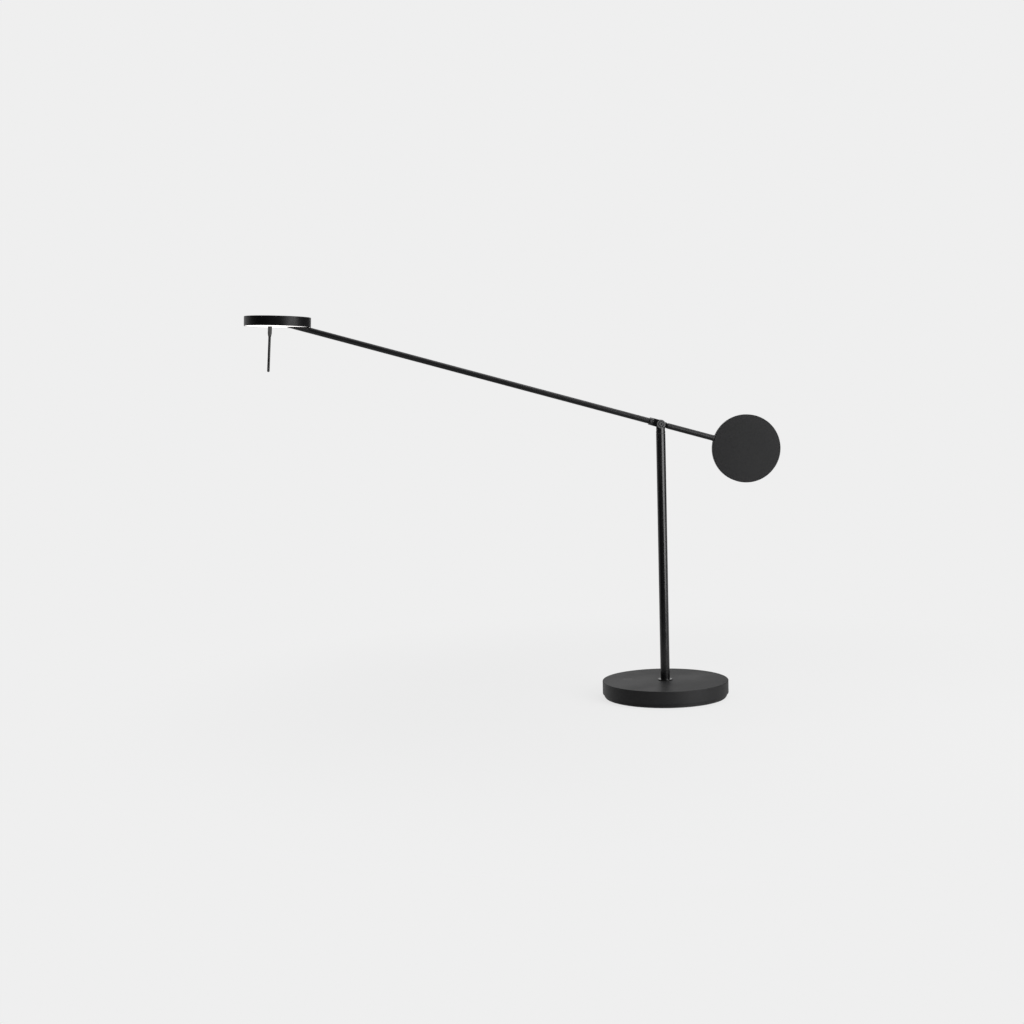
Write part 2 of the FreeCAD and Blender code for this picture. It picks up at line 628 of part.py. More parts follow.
def make_knuckle():
    """Flat tongue on the pivot with a round sleeve for the arm tube and a seat for the tail rod."""
    body = new_body("arm_knuckle")
    add(body, "AdditiveCylinder", "eye", ("0", "0 - tongue_thick / 2", "0"), "Y",
        Radius="knuckle_dia / 2", Height="tongue_thick")
    add(body, "AdditiveBox", "tongue", ("0 - knuckle_dia / 2", "0 - tongue_thick / 2", "0"),
        Length="knuckle_dia", Width="tongue_thick", Height="tongue_long")
    add(body, "AdditiveBox", "tail", ("0 - arm_dia / 2", "0 - tongue_thick / 2", "0 - tail_start"),
        Length="arm_dia", Width="tongue_thick", Height="tail_start")
    add(body, "AdditiveCylinder", "sleeve", ("0", "0", "tongue_long"),
        Radius="knuckle_dia / 2", Height="sleeve_end - tongue_long")
    finish_edges(body, "Chamfer", "sleeve_edge", "sleeve_edge",
                 lambda radius, centre: near(radius, cell("knuckle_dia") / 2)
                 and near(centre.z, cell("sleeve_end")))
    add(body, "SubtractiveCylinder", "tube_socket", ("0", "0", TUBE_START),
        Radius="arm_dia / 2", Height="sleeve_end")
    add(body, "SubtractiveCylinder", "tail_socket", ("0", "0", "0 - tail_start"),
        Radius="tail_pin / 2", Height="tail_pin_long")
    add(body, "SubtractiveCylinder", "pivot_bore", ("0", "0 - tongue_thick", "0"), "Y",
        Radius="barrel_dia / 2 + running", Height="2 * tongue_thick")
    add(body, "SubtractiveCylinder", "screw_hole", ("0", "0 - knuckle_dia", "grub_at"), "Y",
        Radius="grub_dia / 2", Height="knuckle_dia")
    on_arm(body)
    grub = new_body("arm_screw")
    face = "(knuckle_dia / 2 - grub_sink)"
    add(grub, "AdditiveCylinder", "screw", ("0", f"0 - {face}", "grub_at"), "Y",
        Radius="grub_dia / 2", Height=f"{face} - arm_dia / 2")
    add(grub, "SubtractivePrism", "key", ("0", "0 - knuckle_dia", "grub_at"), "Y",
        Circumradius="grub_key / sqrt(3)", Height="knuckle_dia / 2 + grub_sink + grub_key / 2")
    add(grub, "SubtractiveCylinder", "tube_side", ("0", "0", "grub_at - grub_dia"),
        Radius="arm_dia / 2", Height="2 * grub_dia")
    on_arm(grub)


def make_arm():
    """Long steel tube with the lead inside it and the screw that holds the turning tip."""
    tube = new_body("arm_tube")
    ring(tube, "tube", "(arm_dia - 2 * arm_wall)", "arm_dia", TUBE_START, TUBE_END)
    add(tube, "SubtractiveCylinder", "screw_hole", ("0", "0", GROOVE_AT), "Y",
        Radius="roll_screw_dia / 2", Height="arm_dia")
    on_arm(tube)
    lead = new_body("arm_lead")
    add(lead, "AdditiveCylinder", "lead",
        ("lead_dia / 2 + lead_lift + arm_wall - arm_dia / 2", "0", f"{TUBE_START} + sleeve_seat"),
        Radius="lead_dia / 2", Height=f"{TUBE_END} - tip_spigot - {TUBE_START} - 2 * sleeve_seat")
    on_arm(lead)
    screw = new_body("roll_screw")
    tip = "(arm_dia / 2 - arm_wall - tip_groove + roll_screw_play)"
    add(screw, "AdditiveCylinder", "screw", ("0", tip, GROOVE_AT), "Y",
        Radius="roll_screw_dia / 2", Height=f"arm_dia / 2 - roll_screw_play - {tip}")
    on_arm(screw)


def make_tail():
    """Tail rod, jam nut and the round counterweight, hung a little below the arm's axis."""
    rod = new_body("tail_rod")
    nut_face = f"({WEIGHT_SEAT} - jam_thick)"
    turned(rod, "rod", [("0", f"0 - {WEIGHT_SEAT} - thread_long"),
                        ("thread_dia / 2", f"0 - {WEIGHT_SEAT} - thread_long"),
                        ("thread_dia / 2", f"0 - {nut_face}"), ("arm_dia / 2", f"0 - {nut_face}"),
                        ("arm_dia / 2", "0 - tail_start - tail_taper"),
                        ("tail_nose_dia / 2", "0 - tail_start"), ("tail_pin / 2", "0 - tail_start"),
                        ("tail_pin / 2", "tail_pin_long - tail_start"), ("0", "tail_pin_long - tail_start")])
    on_arm(rod)
    nut = new_body("jam_nut")
    ring(nut, "nut", "thread_dia", "jam_dia", f"0 - {WEIGHT_SEAT}", f"0 - {nut_face}")
    on_arm(nut)
    weight = new_body("counterweight")
    add(weight, "AdditiveCylinder", "disc",
        ("0 - weight_drop", "0 - weight_thick / 2", "0 - tail_reach"), "Y",
        Radius="weight_dia / 2", Height="weight_thick")
    finish_edges(weight, "Chamfer", "edges", "weight_edge",
                 lambda radius, centre: near(radius, cell("weight_dia") / 2))
    add(weight, "SubtractiveCylinder", "nut_seat", ("0", "0", f"0 - {WEIGHT_SEAT}"),
        Radius="jam_dia / 2 + touch_play", Height="weight_dia / 2")
    add(weight, "SubtractiveCylinder", "thread", ("0", "0", f"0 - {WEIGHT_SEAT} - thread_long - thread_play"),
        Radius="thread_dia / 2", Height="weight_dia / 2")
    on_arm(weight)


def make_arm_tip():
    """End piece that turns in the arm tube and carries the head on its eye."""
    body = new_body("arm_tip")
    spigot = "arm_dia / 2 - arm_wall - running"
    groove = "arm_dia / 2 - arm_wall - tip_groove"
    turned(body, "tip", [("0", f"{TUBE_END} - tip_spigot"), (spigot, f"{TUBE_END} - tip_spigot"),
                         (spigot, f"{GROOVE_AT} - tip_groove_wide / 2"),
                         (groove, f"{GROOVE_AT} - tip_groove_wide / 2"),
                         (groove, f"{GROOVE_AT} + tip_groove_wide / 2"),
                         (spigot, f"{GROOVE_AT} + tip_groove_wide / 2"), (spigot, f"{TUBE_END} + tip_gap"),
                         ("arm_dia / 2", f"{TUBE_END} + tip_gap"), ("arm_dia / 2", "arm_reach"),
                         ("0", "arm_reach")])
    for side in (1, -1):
        add(body, "SubtractiveBox", "flat",
            ("0 - arm_dia", f"{side} * (eye_thick / 2 + arm_dia / 2) - arm_dia / 2", "arm_reach - eye_long"),
            Length="2 * arm_dia", Width="arm_dia", Height="2 * eye_long")
    add(body, "AdditiveCylinder", "eye", ("0", "0 - eye_thick / 2", "arm_reach"), "Y",
        Radius="eye_dia / 2", Height="eye_thick")
    add(body, "SubtractiveCylinder", "hinge_bore", ("0", "0 - arm_dia", "arm_reach"), "Y",
        Radius="hinge_dia / 2 + running", Height="2 * arm_dia")
    add(body, "SubtractiveCylinder", "lead_bore", ("0", "0", f"{TUBE_END} - tip_spigot"),
        Radius="tip_bore / 2", Height="tip_long + tip_spigot - tip_eye")
    add(body, "SubtractiveCylinder", "lead_exit", ("0", "0", "arm_reach - tip_eye - tip_bore / 2"), "X",
        Radius="exit_bore / 2", Height="arm_dia")
    on_arm(body)


def slot_shape(body, kind, half, grow, low, high):
    """Add or cut the long round-ended shape of the arm's slot, grown past the slot by the wall given."""
    length = f"{high} - ({low})"
    near_end = "(slot_half - slot_inner)"
    far_end = f"({SLOT_OUTER} - slot_half)"
    add(body, kind + "Box", kind.lower() + "_run", (near_end, f"0 - {half}", low),
        Length=f"{far_end} - {near_end}", Width=f"2 * {half}", Height=length)
    for name, end in (("near", near_end), ("far", far_end)):
        add(body, kind + "Cylinder", f"{kind.lower()}_{name}", (end, "0", low),
            Radius=f"slot_half + {grow}", Height=length)


def make_head_shell():
    """Shallow cup of the head, open below, with the ledge that the lens sits against."""
    body = new_body("head_housing")
    ledge = "head_dia / 2 - head_rim - head_ledge"
    wall = "head_dia / 2 - head_rim"
    turned(body, "shell", [("0", HEAD_UNDER), (ledge, HEAD_UNDER), (ledge, LENS_BACK), (wall, LENS_BACK),
                           (wall, HEAD_BOTTOM), ("head_dia / 2", HEAD_BOTTOM),
                           ("head_dia / 2", "head_thick / 2"), ("0", "head_thick / 2")])
    finish_edges(body, "Chamfer", "upper_edge", "head_edge",
                 lambda radius, centre: near(radius, cell("head_dia") / 2) and centre.z > 0)
    slot_shape(body, "Subtractive", "(slot_half + well_wall)", "well_wall + touch_play", LENS_BACK,
               "well_top + touch_play")
    for side in (1, -1):
        for end in (1, -1):
            add(body, "SubtractiveCylinder", "block_thread",
                (f"{end} * block_screw_x", f"{side} * block_screw_y", HEAD_UNDER),
                Radius="block_screw_dia / 2", Height="block_screw_bite")
    hole = add(body, "SubtractiveCylinder", "disc_thread", (DISC_SCREW_X, "0", HEAD_UNDER),
               Radius="disc_screw_dia / 2", Height="disc_screw_bite")
    repeat_around(body, "disc_threads", [hole], "disc_screw_count")
    on_head(body)


def make_hinge():
    """Forked block screwed inside the head, its pin and its four screws."""
    block = new_body("hinge_block")
    add(block, "AdditiveBox", "block", ("0 - block_back", "0 - block_half", "0 - block_drop"),
        Length="block_back + block_front", Width="2 * block_half", Height=f"block_drop + {HEAD_UNDER}")
    add(block, "SubtractiveBox", "slot",
        ("block_web - block_back", "0 - eye_thick / 2 - eye_play", "0 - block_drop"),
        Length="block_back + block_front", Width="eye_thick + 2 * eye_play", Height="head_thick")
    add(block, "SubtractiveCylinder", "pin_bore", ("0", "0 - block_half", "0"), "Y",
        Radius="hinge_dia / 2", Height="2 * block_half")
    screws = new_body("block_screws", several=True)
    for side in (1, -1):
        for end in (1, -1):
            at = (f"{end} * block_screw_x", f"{side} * block_screw_y", "0 - block_drop")
            add(block, "SubtractiveCylinder", "screw_hole", at,
                Radius="block_screw_dia / 2", Height=f"block_drop + {HEAD_UNDER}")
            add(screws, "AdditiveCylinder", "shank", at,
                Radius="block_screw_dia / 2", Height=f"block_drop + {HEAD_UNDER} + block_screw_bite")
    on_head(block)
    on_head(screws)
    pin = new_body("hinge_pin")
    add(pin, "AdditiveCylinder", "pin", ("0", "0 - block_half", "0"), "Y",
        Radius="hinge_dia / 2", Height="2 * block_half")
    on_head(pin)


def make_arm_well():
    """Dark trough round the arm's slot, which keeps the light out of it."""
    body = new_body("arm_well")
    slot_shape(body, "Additive", "(slot_half + well_wall)", "well_wall", LENS_FACE, "well_top")
    slot_shape(body, "Subtractive", "slot_half", "0", "0 - head_thick", "head_thick")
    add(body, "SubtractiveBox", "block_room",
        ("0 - block_back - block_play", "0 - block_half - block_play", "0 - block_drop - block_play"),
        Length="block_back + block_front + 2 * block_play", Width="2 * block_half + 2 * block_play",
        Height="head_thick")
    on_head(body)


def make_light():
    """Opal lens, and the metal disc with its ring of light-emitting chips and its screws."""
    lens = new_body("lens")
    ring(lens, "disc", "0", "(head_dia - 2 * head_rim - 2 * lens_play)", LENS_FACE, LENS_BACK)
    slot_shape(lens, "Subtractive", "(slot_half + well_wall)", "well_wall", "0 - head_thick", "head_thick")
    add(lens, "SubtractiveCylinder", "lever_hole", ("0 - lever_offset", "0", "0 - head_thick"),
        Radius="boot_hole / 2", Height="head_thick")
    disc = new_body("led_disc")
    ring(disc, "disc", "led_disc_hole", LED_DISC, LED_BACK, HEAD_UNDER)
    hole = add(disc, "SubtractiveCylinder", "screw_hole", (DISC_SCREW_X, "0", LED_BACK),
               Radius="disc_screw_dia / 2", Height="led_disc_thick")
    repeat_around(disc, "screw_holes", [hole], "disc_screw_count")
    chips = new_body("led_chips", several=True)
    chip = add(chips, "AdditiveBox", "chip",
               (f"{LED_DISC} / 2 - led_inset - led_wide / 2", "0 - led_wide / 2", f"{LED_BACK} - led_thick"),
               Length="led_wide", Width="led_wide", Height="led_thick")
    repeat_around(chips, "ring_of_chips", [chip], "led_count")
    screws = new_body("disc_screws", several=True)
    head = add(screws, "AdditiveCylinder", "head",
               (DISC_SCREW_X, "0", f"{LED_BACK} - disc_screw_high"),
               Radius="disc_screw_head / 2", Height="disc_screw_high")
    shank = add(screws, "AdditiveCylinder", "shank", (DISC_SCREW_X, "0", LED_BACK),
                Radius="disc_screw_dia / 2", Height="led_disc_thick + disc_screw_bite")
    repeat_around(screws, "all_screws", [head, shank], "disc_screw_count")
    for body in (lens, disc, chips, screws):
        on_head(body)


def make_lever():
    """Thin aiming lever that hangs from the head, and the tapered boot at its root."""
    rod = new_body("lever_rod")
    end = "lever_dia / 2 - lever_reach"
    top = f"{HEAD_UNDER} - {LENS_FACE} - lever_play"
    add(rod, "AdditiveCylinder", "rod", ("0", "0", end), Radius="lever_dia / 2", Height=f"{top} - ({end})")
    add(rod, "AdditiveSphere", "end", ("0", "0", end), Radius="lever_dia / 2")
    boot = new_body("lever_boot")
    turned(boot, "boot", [("lever_dia / 2", "0 - boot_long - boot_taper"),
                          ("boot_end_dia / 2", "0 - boot_long - boot_taper"),
                          ("boot_dia / 2", "0 - boot_long"), ("boot_dia / 2", "boot_inside"),
                          ("lever_dia / 2", "boot_inside")])
    for body in (rod, boot):
        on_head(body, "0 - lever_offset", LENS_FACE, "lever_lean")


def check_model():
    """Stop where an object failed or a sub-part is not a sound solid."""
    for thing in document.Objects:
        if "Invalid" in thing.State or "Error" in thing.State:
            raise RuntimeError(f"{thing.Label} failed: {thing.State}")
    for body in sub_parts:
        if body.Shape.isNull() or not body.Shape.isValid() or not body.Shape.Solids:
            raise RuntimeError(f"{body.Label} is not a sound solid")


def write_parts():
    os.makedirs("parts", exist_ok=True)
    for body in sub_parts:
        body.Shape.exportStep(f"parts/{body.Label}.step")
        print(f"{body.Label}: {len(body.Shape.Solids)} solid(s), {body.Shape.Volume / 1000:.2f} cm3")


def main():
    make_sheet()
    for make in (make_foot_pad, make_base_plate, make_base_screws, make_base_cover, make_ballast, make_driver,
                 make_touch_switch, make_cord_grommet, make_pole_fixings, make_pole, make_base_lead,
                 make_fork, make_pivot, make_knuckle, make_arm, make_tail, make_arm_tip,
                 make_head_shell, make_hinge, make_arm_well, make_light, make_lever):
        make()
    document.recompute()
    check_model()
    write_parts()


main()
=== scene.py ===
"""Counterweight balance desk lamp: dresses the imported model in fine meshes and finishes."""

import json
import math

import bmesh
import bpy
from mathutils import Matrix, Vector


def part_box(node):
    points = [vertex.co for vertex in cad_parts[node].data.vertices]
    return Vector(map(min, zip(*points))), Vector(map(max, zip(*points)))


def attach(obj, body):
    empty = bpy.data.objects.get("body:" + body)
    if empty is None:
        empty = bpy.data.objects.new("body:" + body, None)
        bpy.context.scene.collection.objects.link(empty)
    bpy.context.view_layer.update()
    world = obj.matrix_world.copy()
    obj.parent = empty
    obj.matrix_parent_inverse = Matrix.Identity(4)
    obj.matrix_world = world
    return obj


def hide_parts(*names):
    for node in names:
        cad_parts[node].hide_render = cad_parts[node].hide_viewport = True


bl_info = {
    "name": "Counterweight balance desk lamp",
    "version": (1, 0, 0),
    "blender": (4, 5, 0),
    "location": "View3D > Sidebar > Lamp",
    "description": "Builds the pieces, finishes and stage of a counterweight balance desk lamp",
    "category": "Object",
}

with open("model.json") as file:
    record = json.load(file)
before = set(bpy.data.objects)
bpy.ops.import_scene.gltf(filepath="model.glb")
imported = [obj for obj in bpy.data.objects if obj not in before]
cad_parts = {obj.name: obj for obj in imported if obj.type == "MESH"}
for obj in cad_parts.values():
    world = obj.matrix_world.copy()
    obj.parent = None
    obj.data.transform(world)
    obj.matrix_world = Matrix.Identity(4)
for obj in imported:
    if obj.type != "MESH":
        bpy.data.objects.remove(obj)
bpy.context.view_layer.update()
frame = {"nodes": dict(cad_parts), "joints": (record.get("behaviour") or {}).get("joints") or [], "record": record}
MM = 0.001
SLOTS = {part["node"]: part["material_slot"] for part in frame["record"]["subparts"]}


def joint(name):
    return next(entry for entry in frame["joints"] if entry["name"] == name)


def low(node, axis):
    """Lowest place of a CAD node along x, y or z, in metres."""
    return getattr(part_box(node)[0], axis)


def high(node, axis):
    """Highest place of a CAD node along x, y or z, in metres."""
    return getattr(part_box(node)[1], axis)


SEAM = joint("arm_swivel")["pos_m"][2]
PIVOT = Vector(joint("arm_tilt")["pos_m"])
HINGE = Vector(joint("head_tilt")["pos_m"])
REACH = (HINGE - PIVOT).length
LEAN = math.atan2((HINGE - PIVOT).z, (PIVOT - HINGE).x) - math.pi / 2
DRUM = 6.5 * MM
SHARP = math.radians(35)


def length(name, default, description):
    return bpy.props.FloatProperty(name=name, description=description, default=default, min=0.0, max=1.0,
                                   unit="LENGTH", subtype="DISTANCE")


def amount(name, default, description, most=1.0):
    return bpy.props.FloatProperty(name=name, description=description, default=default, min=0.0, max=most,
                                   subtype="FACTOR")


def colour(name, default, description):
    return bpy.props.FloatVectorProperty(name=name, description=description, default=default, size=3,
                                         min=0.0, max=1.0, subtype="COLOR")


# ---------------------------------------------------------------- sizes and finishes


class LampBaseSizes(bpy.types.PropertyGroup):
    """Sizes of the weighted base and the pole."""

    wall: length("Cover wall", 3.0 * MM, "Thickness of the cover's side")
    top: length("Cover top", 2.5 * MM, "Thickness of the cover's top")
    edge: length("Cover edge", 0.8 * MM, "Rounding of the cover's upper edge")
    screw_inset: length("Screw inset", 25.0 * MM, "The base screws, in from the cover's edge")
    ring: length("Switch ring", 6.2 * MM, "Radius of the ring on the touch switch")
    pole_bore: length("Pole bore", 10.0 * MM, "Bore of the pole's tube")
    collar_edge: length("Collar edge", 0.3 * MM, "Rounding of the collar's upper edge")


class LampArmSizes(bpy.types.PropertyGroup):
    """Sizes of the swivel, the arm and the counterweight."""

    slot: length("Fork slot", 6.6 * MM, "Width of the fork's slot")
    slot_depth: length("Slot depth", 11.0 * MM, "Depth of the slot below the pivot")
    tongue: length("Tongue", 5.6 * MM, "Thickness of the knuckle's tongue")
    wall: length("Tube wall", 1.0 * MM, "Thickness of the arm tube's wall")
    sleeve_start: length("Sleeve start", 11.5 * MM, "Where the round sleeve starts, from the pivot")
    sleeve_end: length("Sleeve end", 18.1 * MM, "Where the round sleeve ends, from the pivot")
    tail_start: length("Tail start", 8.6 * MM, "Where the tail rod starts, behind the pivot")
    tail_taper: length("Tail taper", 2.3 * MM, "Length of the tail rod's tapered start")
    weight_edge: length("Weight edge", 0.8 * MM, "Rounding of the counterweight's edges")
    tip_long: length("Tip length", 26.0 * MM, "Turning end piece, up to the head's hinge")


class LampHeadSizes(bpy.types.PropertyGroup):
    """Sizes of the head."""

    tilt: bpy.props.FloatProperty(name="Head tilt", description="Tilt of the head at rest",
                                  default=math.radians(2.6), unit="ROTATION", subtype="ANGLE")
    lever_lean: bpy.props.FloatProperty(name="Lever lean", description="Lean of the lever past the tilt",
                                        default=math.radians(1.7), unit="ROTATION", subtype="ANGLE")
    thick: length("Thickness", 14.3 * MM, "Height of the head's rim")
    rim: length("Rim", 1.4 * MM, "Thickness of the rim's wall")
    ledge: length("Ledge", 1.15 * MM, "Width of the ledge above the lens")
    edge: length("Edge", 0.7 * MM, "Rounding of the rim's upper edge")
    lens_recess: length("Lens recess", 0.3 * MM, "The lens's face above the rim's lower edge")
    lens_thick: length("Lens", 1.5 * MM, "Thickness of the opal lens")
    lever_at: length("Lever place", 11.0 * MM, "From the hinge to the lever")
    lever_reach: length("Lever reach", 67.5 * MM, "Length of the lever below the light")
    boot_long: length("Boot length", 10.5 * MM, "Straight part of the lever's boot")


class LampFinishes(bpy.types.PropertyGroup):
    """Colours and sheen of the finishes."""

    powder: colour("Powder coat", (0.013, 0.013, 0.0135), "Fine textured black coat of the base and weight")
    satin: colour("Satin paint", (0.006, 0.006, 0.0065), "Smooth black paint of the pole, arm and head")
    blackened: colour("Blackened steel", (0.035, 0.035, 0.036), "Pivot caps and grub screws")
    rubber: colour("Rubber", (0.018, 0.018, 0.018), "Foot pad, grommet and boot")
    opal: colour("Opal", (1.0, 0.975, 0.95), "Light of the opal lens")
    glow: amount("Glow", 1.2, "Strength of the opal lens's light", most=10.0)
    # This amount scales the lighter paint on the drums' faces: worn by rubbing, and a painted highlight.
    wear: amount("Wear", 0.5, "How far edges and touched places are rubbed")
    backdrop: colour("Backdrop", (0.863, 0.863, 0.863), "Floor and background")


GROUPS = {"lamp_base": LampBaseSizes, "lamp_arm": LampArmSizes, "lamp_head": LampHeadSizes,
          "lamp_finish": LampFinishes}


# ---------------------------------------------------------------- finishes


# How finely each pattern repeats, as noise and wave scales per metre
POWDER_PEEL, PAINT_PEEL, MOULD_GRAIN, LENS_GRAIN = 1500.0, 620.0, 700.0, 900.0
CLOUDS, SMEARS, DUST, MOTTLE, TOOL_MARKS = 14.0, 45.0, 60.0, 260.0, 900.0
CAST_GRAIN, CAST_SKIN, TRACKS = 420.0, 35.0, 260.0
RUB_MARKS, BOARD_GLOSS, LENS_CLOUDS = 700.0, 300.0, 30.0


class Wire:
    """A shader socket that takes part in Python sums."""

    def __init__(self, tree, socket):
        self.tree, self.socket = tree, socket

    def node(self, kind, settings=None, **inputs):
        """Add a node: its settings first, then the values or links of its sockets."""
        made = self.tree.nodes.new(kind)
        for field, value in (settings or {}).items():
            setattr(made, field, value)
        for name, value in inputs.items():
            key = int(name[1:]) if name[0] == "_" else name.replace("_", " ")
            plug(self.tree, made.inputs[key], value)
        return made

    def sum(self, operation, *terms):
        made = self.node("ShaderNodeMath", {"operation": operation},
                         **{f"_{place}": term for place, term in enumerate(terms)})
        return Wire(self.tree, made.outputs[0])

    def out(self, kind, settings=None, output=0, **inputs):
        return Wire(self.tree, self.node(kind, settings, **inputs).outputs[output])

    def __add__(self, other):
        return self.sum("ADD", self, other)

    __radd__ = __add__

    def __sub__(self, other):
        return self.sum("SUBTRACT", self, other)

    def __rsub__(self, other):
        return self.sum("SUBTRACT", other, self)

    def __mul__(self, other):
        return self.sum("MULTIPLY", self, other)

    __rmul__ = __mul__

    def __abs__(self):
        return self.sum("ABSOLUTE", self)

    def step(self, start, end):
        """0 below start and 1 above end, smoothly between them."""
        return self.out("ShaderNodeMapRange", {"interpolation_type": "SMOOTHSTEP"},
                        Value=self, From_Min=start, From_Max=end)

    def blend(self, first, second):
        """Mix two colours by this value."""
        return self.out("ShaderNodeMix", {"data_type": "RGBA"}, output=2, _0=self, _6=first, _7=second)


def plug(tree, socket, value):
    if isinstance(value, Wire):
        tree.links.new(value.socket, socket)
    elif isinstance(value, tuple) and len(value) == 3 and socket.type == "RGBA":
        socket.default_value = (*value, 1)
    else:
        socket.default_value = value


def material(name, **shader):
    """A material with a Principled shader whose plain values are set, and the object's own coordinates."""
    made = bpy.data.materials.new(name)
    made.use_nodes = True
    tree = made.node_tree
    principled = tree.nodes["Principled BSDF"]
    for field, value in shader.items():
        plug(tree, principled.inputs[field.replace("_", " ")], value)
    place = Wire(tree, tree.nodes.new("ShaderNodeTexCoord").outputs["Object"])
    return made, place, principled


def distance(place, centre=(0.0, 0.0, 0.0), keep=(1.0, 1.0, 1.0)):
    """Distance from a centre, counted along the kept axes."""
    away = tuple(-part * kept for part, kept in zip(centre, keep))
    moved = place.out("ShaderNodeMapping", {}, Vector=place, Location=away, Scale=keep)
    return Wire(place.tree, place.node("ShaderNodeVectorMath", {"operation": "LENGTH"},
                                       _0=moved).outputs["Value"])


def noise(place, scale, detail=3.0, roughness=0.5):
    return place.out("ShaderNodeTexNoise", {}, Vector=place, Scale=scale, Detail=detail, Roughness=roughness)


def finish(place, principled, base=None, roughness=None, bump=None, depth=0.0, strength=1.0):
    """Link what changes over the surface."""
    if base is not None:
        plug(place.tree, principled.inputs["Base Color"], base)
    if roughness is not None:
        plug(place.tree, principled.inputs["Roughness"], roughness)
    if bump is not None:
        normal = place.out("ShaderNodeBump", {}, Height=bump, Distance=depth, Strength=strength)
        plug(place.tree, principled.inputs["Normal"], normal)


def scaled(shade, factor):
    return tuple(min(1.0, part * factor) for part in shade)


def powder_coat(name, shade, level=0.15):
    """Fine textured powder coat: a tight orange peel with tiny glints and a cloudy sheen."""
    made, place, principled = material(name, Specular_IOR_Level=level)
    peel = noise(place, POWDER_PEEL, 2.0, 0.6)
    cloud = noise(place, CLOUDS, 2.0).step(0.3, 0.7)
    base = peel.step(0.25, 0.8).blend(scaled(shade, 0.72), scaled(shade, 1.35))
    finish(place, principled, base=base, roughness=0.5 + 0.07 * cloud - 0.05 * peel,
           bump=peel, depth=0.09 * MM, strength=0.55)
    return made


def satin_paint(name, shade, roughness=0.3, level=0.3):
    """Smooth satin paint over drawn tube: faint peel and handling marks."""
    made, place, principled = material(name, Specular_IOR_Level=level)
    peel = noise(place, PAINT_PEEL, 2.0)
    smear = noise(place, SMEARS, 3.0).step(0.42, 0.72)
    base = peel.step(0.3, 0.7).blend(scaled(shade, 0.85), scaled(shade, 1.2))
    finish(place, principled, base=base, roughness=roughness + 0.09 * smear,
           bump=peel, depth=0.04 * MM, strength=0.04)
    return made


def joint_paint(name, shade, wear):
    """Satin paint of the joints; the drums' round faces are painted lighter, partly worn by rubbing and partly a
    painted highlight, brightest in a ring along their rounded edges.
    """
    made, place, principled = material(name, Specular_IOR_Level=0.3)
    out = distance(place, centre=PIVOT, keep=(1.0, 0.0, 1.0))
    depth = abs(Wire(place.tree, place.node("ShaderNodeSeparateXYZ", {}, Vector=place).outputs["Y"]))
    drum_face = high("swivel_fork", "y")
    # Mask of the drums' round faces, which are painted lighter.
    face = ((1 - out.step(DRUM - 0.1 * MM, DRUM + 0.7 * MM))
            * depth.step(drum_face - 1.1 * MM, drum_face - 0.5 * MM))
    # Ring along the drums' rounded edges: a painted highlight.
    edge = face * (1 - abs(out - (DRUM - 0.6 * MM)).step(0.3 * MM, 0.9 * MM))
    # Lighter grey paint on the drum faces: worn by rubbing, with a painted highlight.
    rubbed_and_highlighted = (0.55 * face + 0.6 * edge) * (0.7 + 0.6 * noise(place, RUB_MARKS)) * wear
    stem = high("pole", "x")
    sleeve = distance(place, keep=(1.0, 1.0, 0.0)).step(stem + 0.2 * MM, stem + MM)
    finish(place, principled, base=rubbed_and_highlighted.blend(shade, (0.14, 0.14, 0.14)),
           roughness=0.22 - 0.08 * sleeve + 0.2 * face, bump=noise(place, PAINT_PEEL, 2.0),
           depth=0.04 * MM, strength=0.04)
    return made


def steel(name, shade, roughness=0.35, metallic=1.0):
    """Turned steel, plated or blackened: fine rings of tool marks and a mottled tone."""
    made, place, principled = material(name, Metallic=metallic, Specular_IOR_Level=0.4)
    mottle = noise(place, MOTTLE, 3.0)
    marks = place.out("ShaderNodeTexWave", {"wave_type": "RINGS"}, Vector=place, Scale=TOOL_MARKS,
                      Distortion=2.0)
    base = mottle.step(0.25, 0.75).blend(scaled(shade, 0.8), scaled(shade, 1.15))
    finish(place, principled, base=base, roughness=roughness + 0.12 * mottle,
           bump=marks, depth=0.01 * MM, strength=0.2)
    return made


def moulded(name, shade, roughness=0.6):
    """Moulded rubber or plastic with a fine matt grain and dust in its low places."""
    made, place, principled = material(name, Specular_IOR_Level=0.35)
    fine = noise(place, MOULD_GRAIN, 3.0)
    dust = noise(place, DUST, 2.0).step(0.5, 0.8)
    base = (0.12 * fine + 0.1 * dust).blend(shade, scaled(shade, 2.2))
    finish(place, principled, base=base, roughness=roughness + 0.15 * dust, bump=fine,
           depth=0.04 * MM, strength=0.5)
    return made


def cast_iron(name):
    """Rough sand casting with a dark skin."""
    made, place, principled = material(name, Metallic=0.6, Specular_IOR_Level=0.4)
    rough = noise(place, CAST_GRAIN, 6.0, 0.65)
    skin = noise(place, CAST_SKIN, 4.0).step(0.35, 0.7)
    finish(place, principled, base=skin.blend((0.11, 0.105, 0.1), (0.19, 0.18, 0.17)),
           roughness=0.62 + 0.15 * rough, bump=rough, depth=0.4 * MM, strength=0.6)
    return made


def circuit_board(name):
    """Solder mask with tracks of a slightly lighter green."""
    made, place, principled = material(name, Specular_IOR_Level=0.5, Coat_Weight=0.3)
    tracks = place.out("ShaderNodeTexBrick", {"offset": 0.5}, Vector=place, Scale=TRACKS, Mortar_Size=0.03,
                       output=1)
    finish(place, principled, base=tracks.blend((0.012, 0.075, 0.03), (0.03, 0.13, 0.06)),
           roughness=0.35 + 0.1 * noise(place, BOARD_GLOSS))
    return made


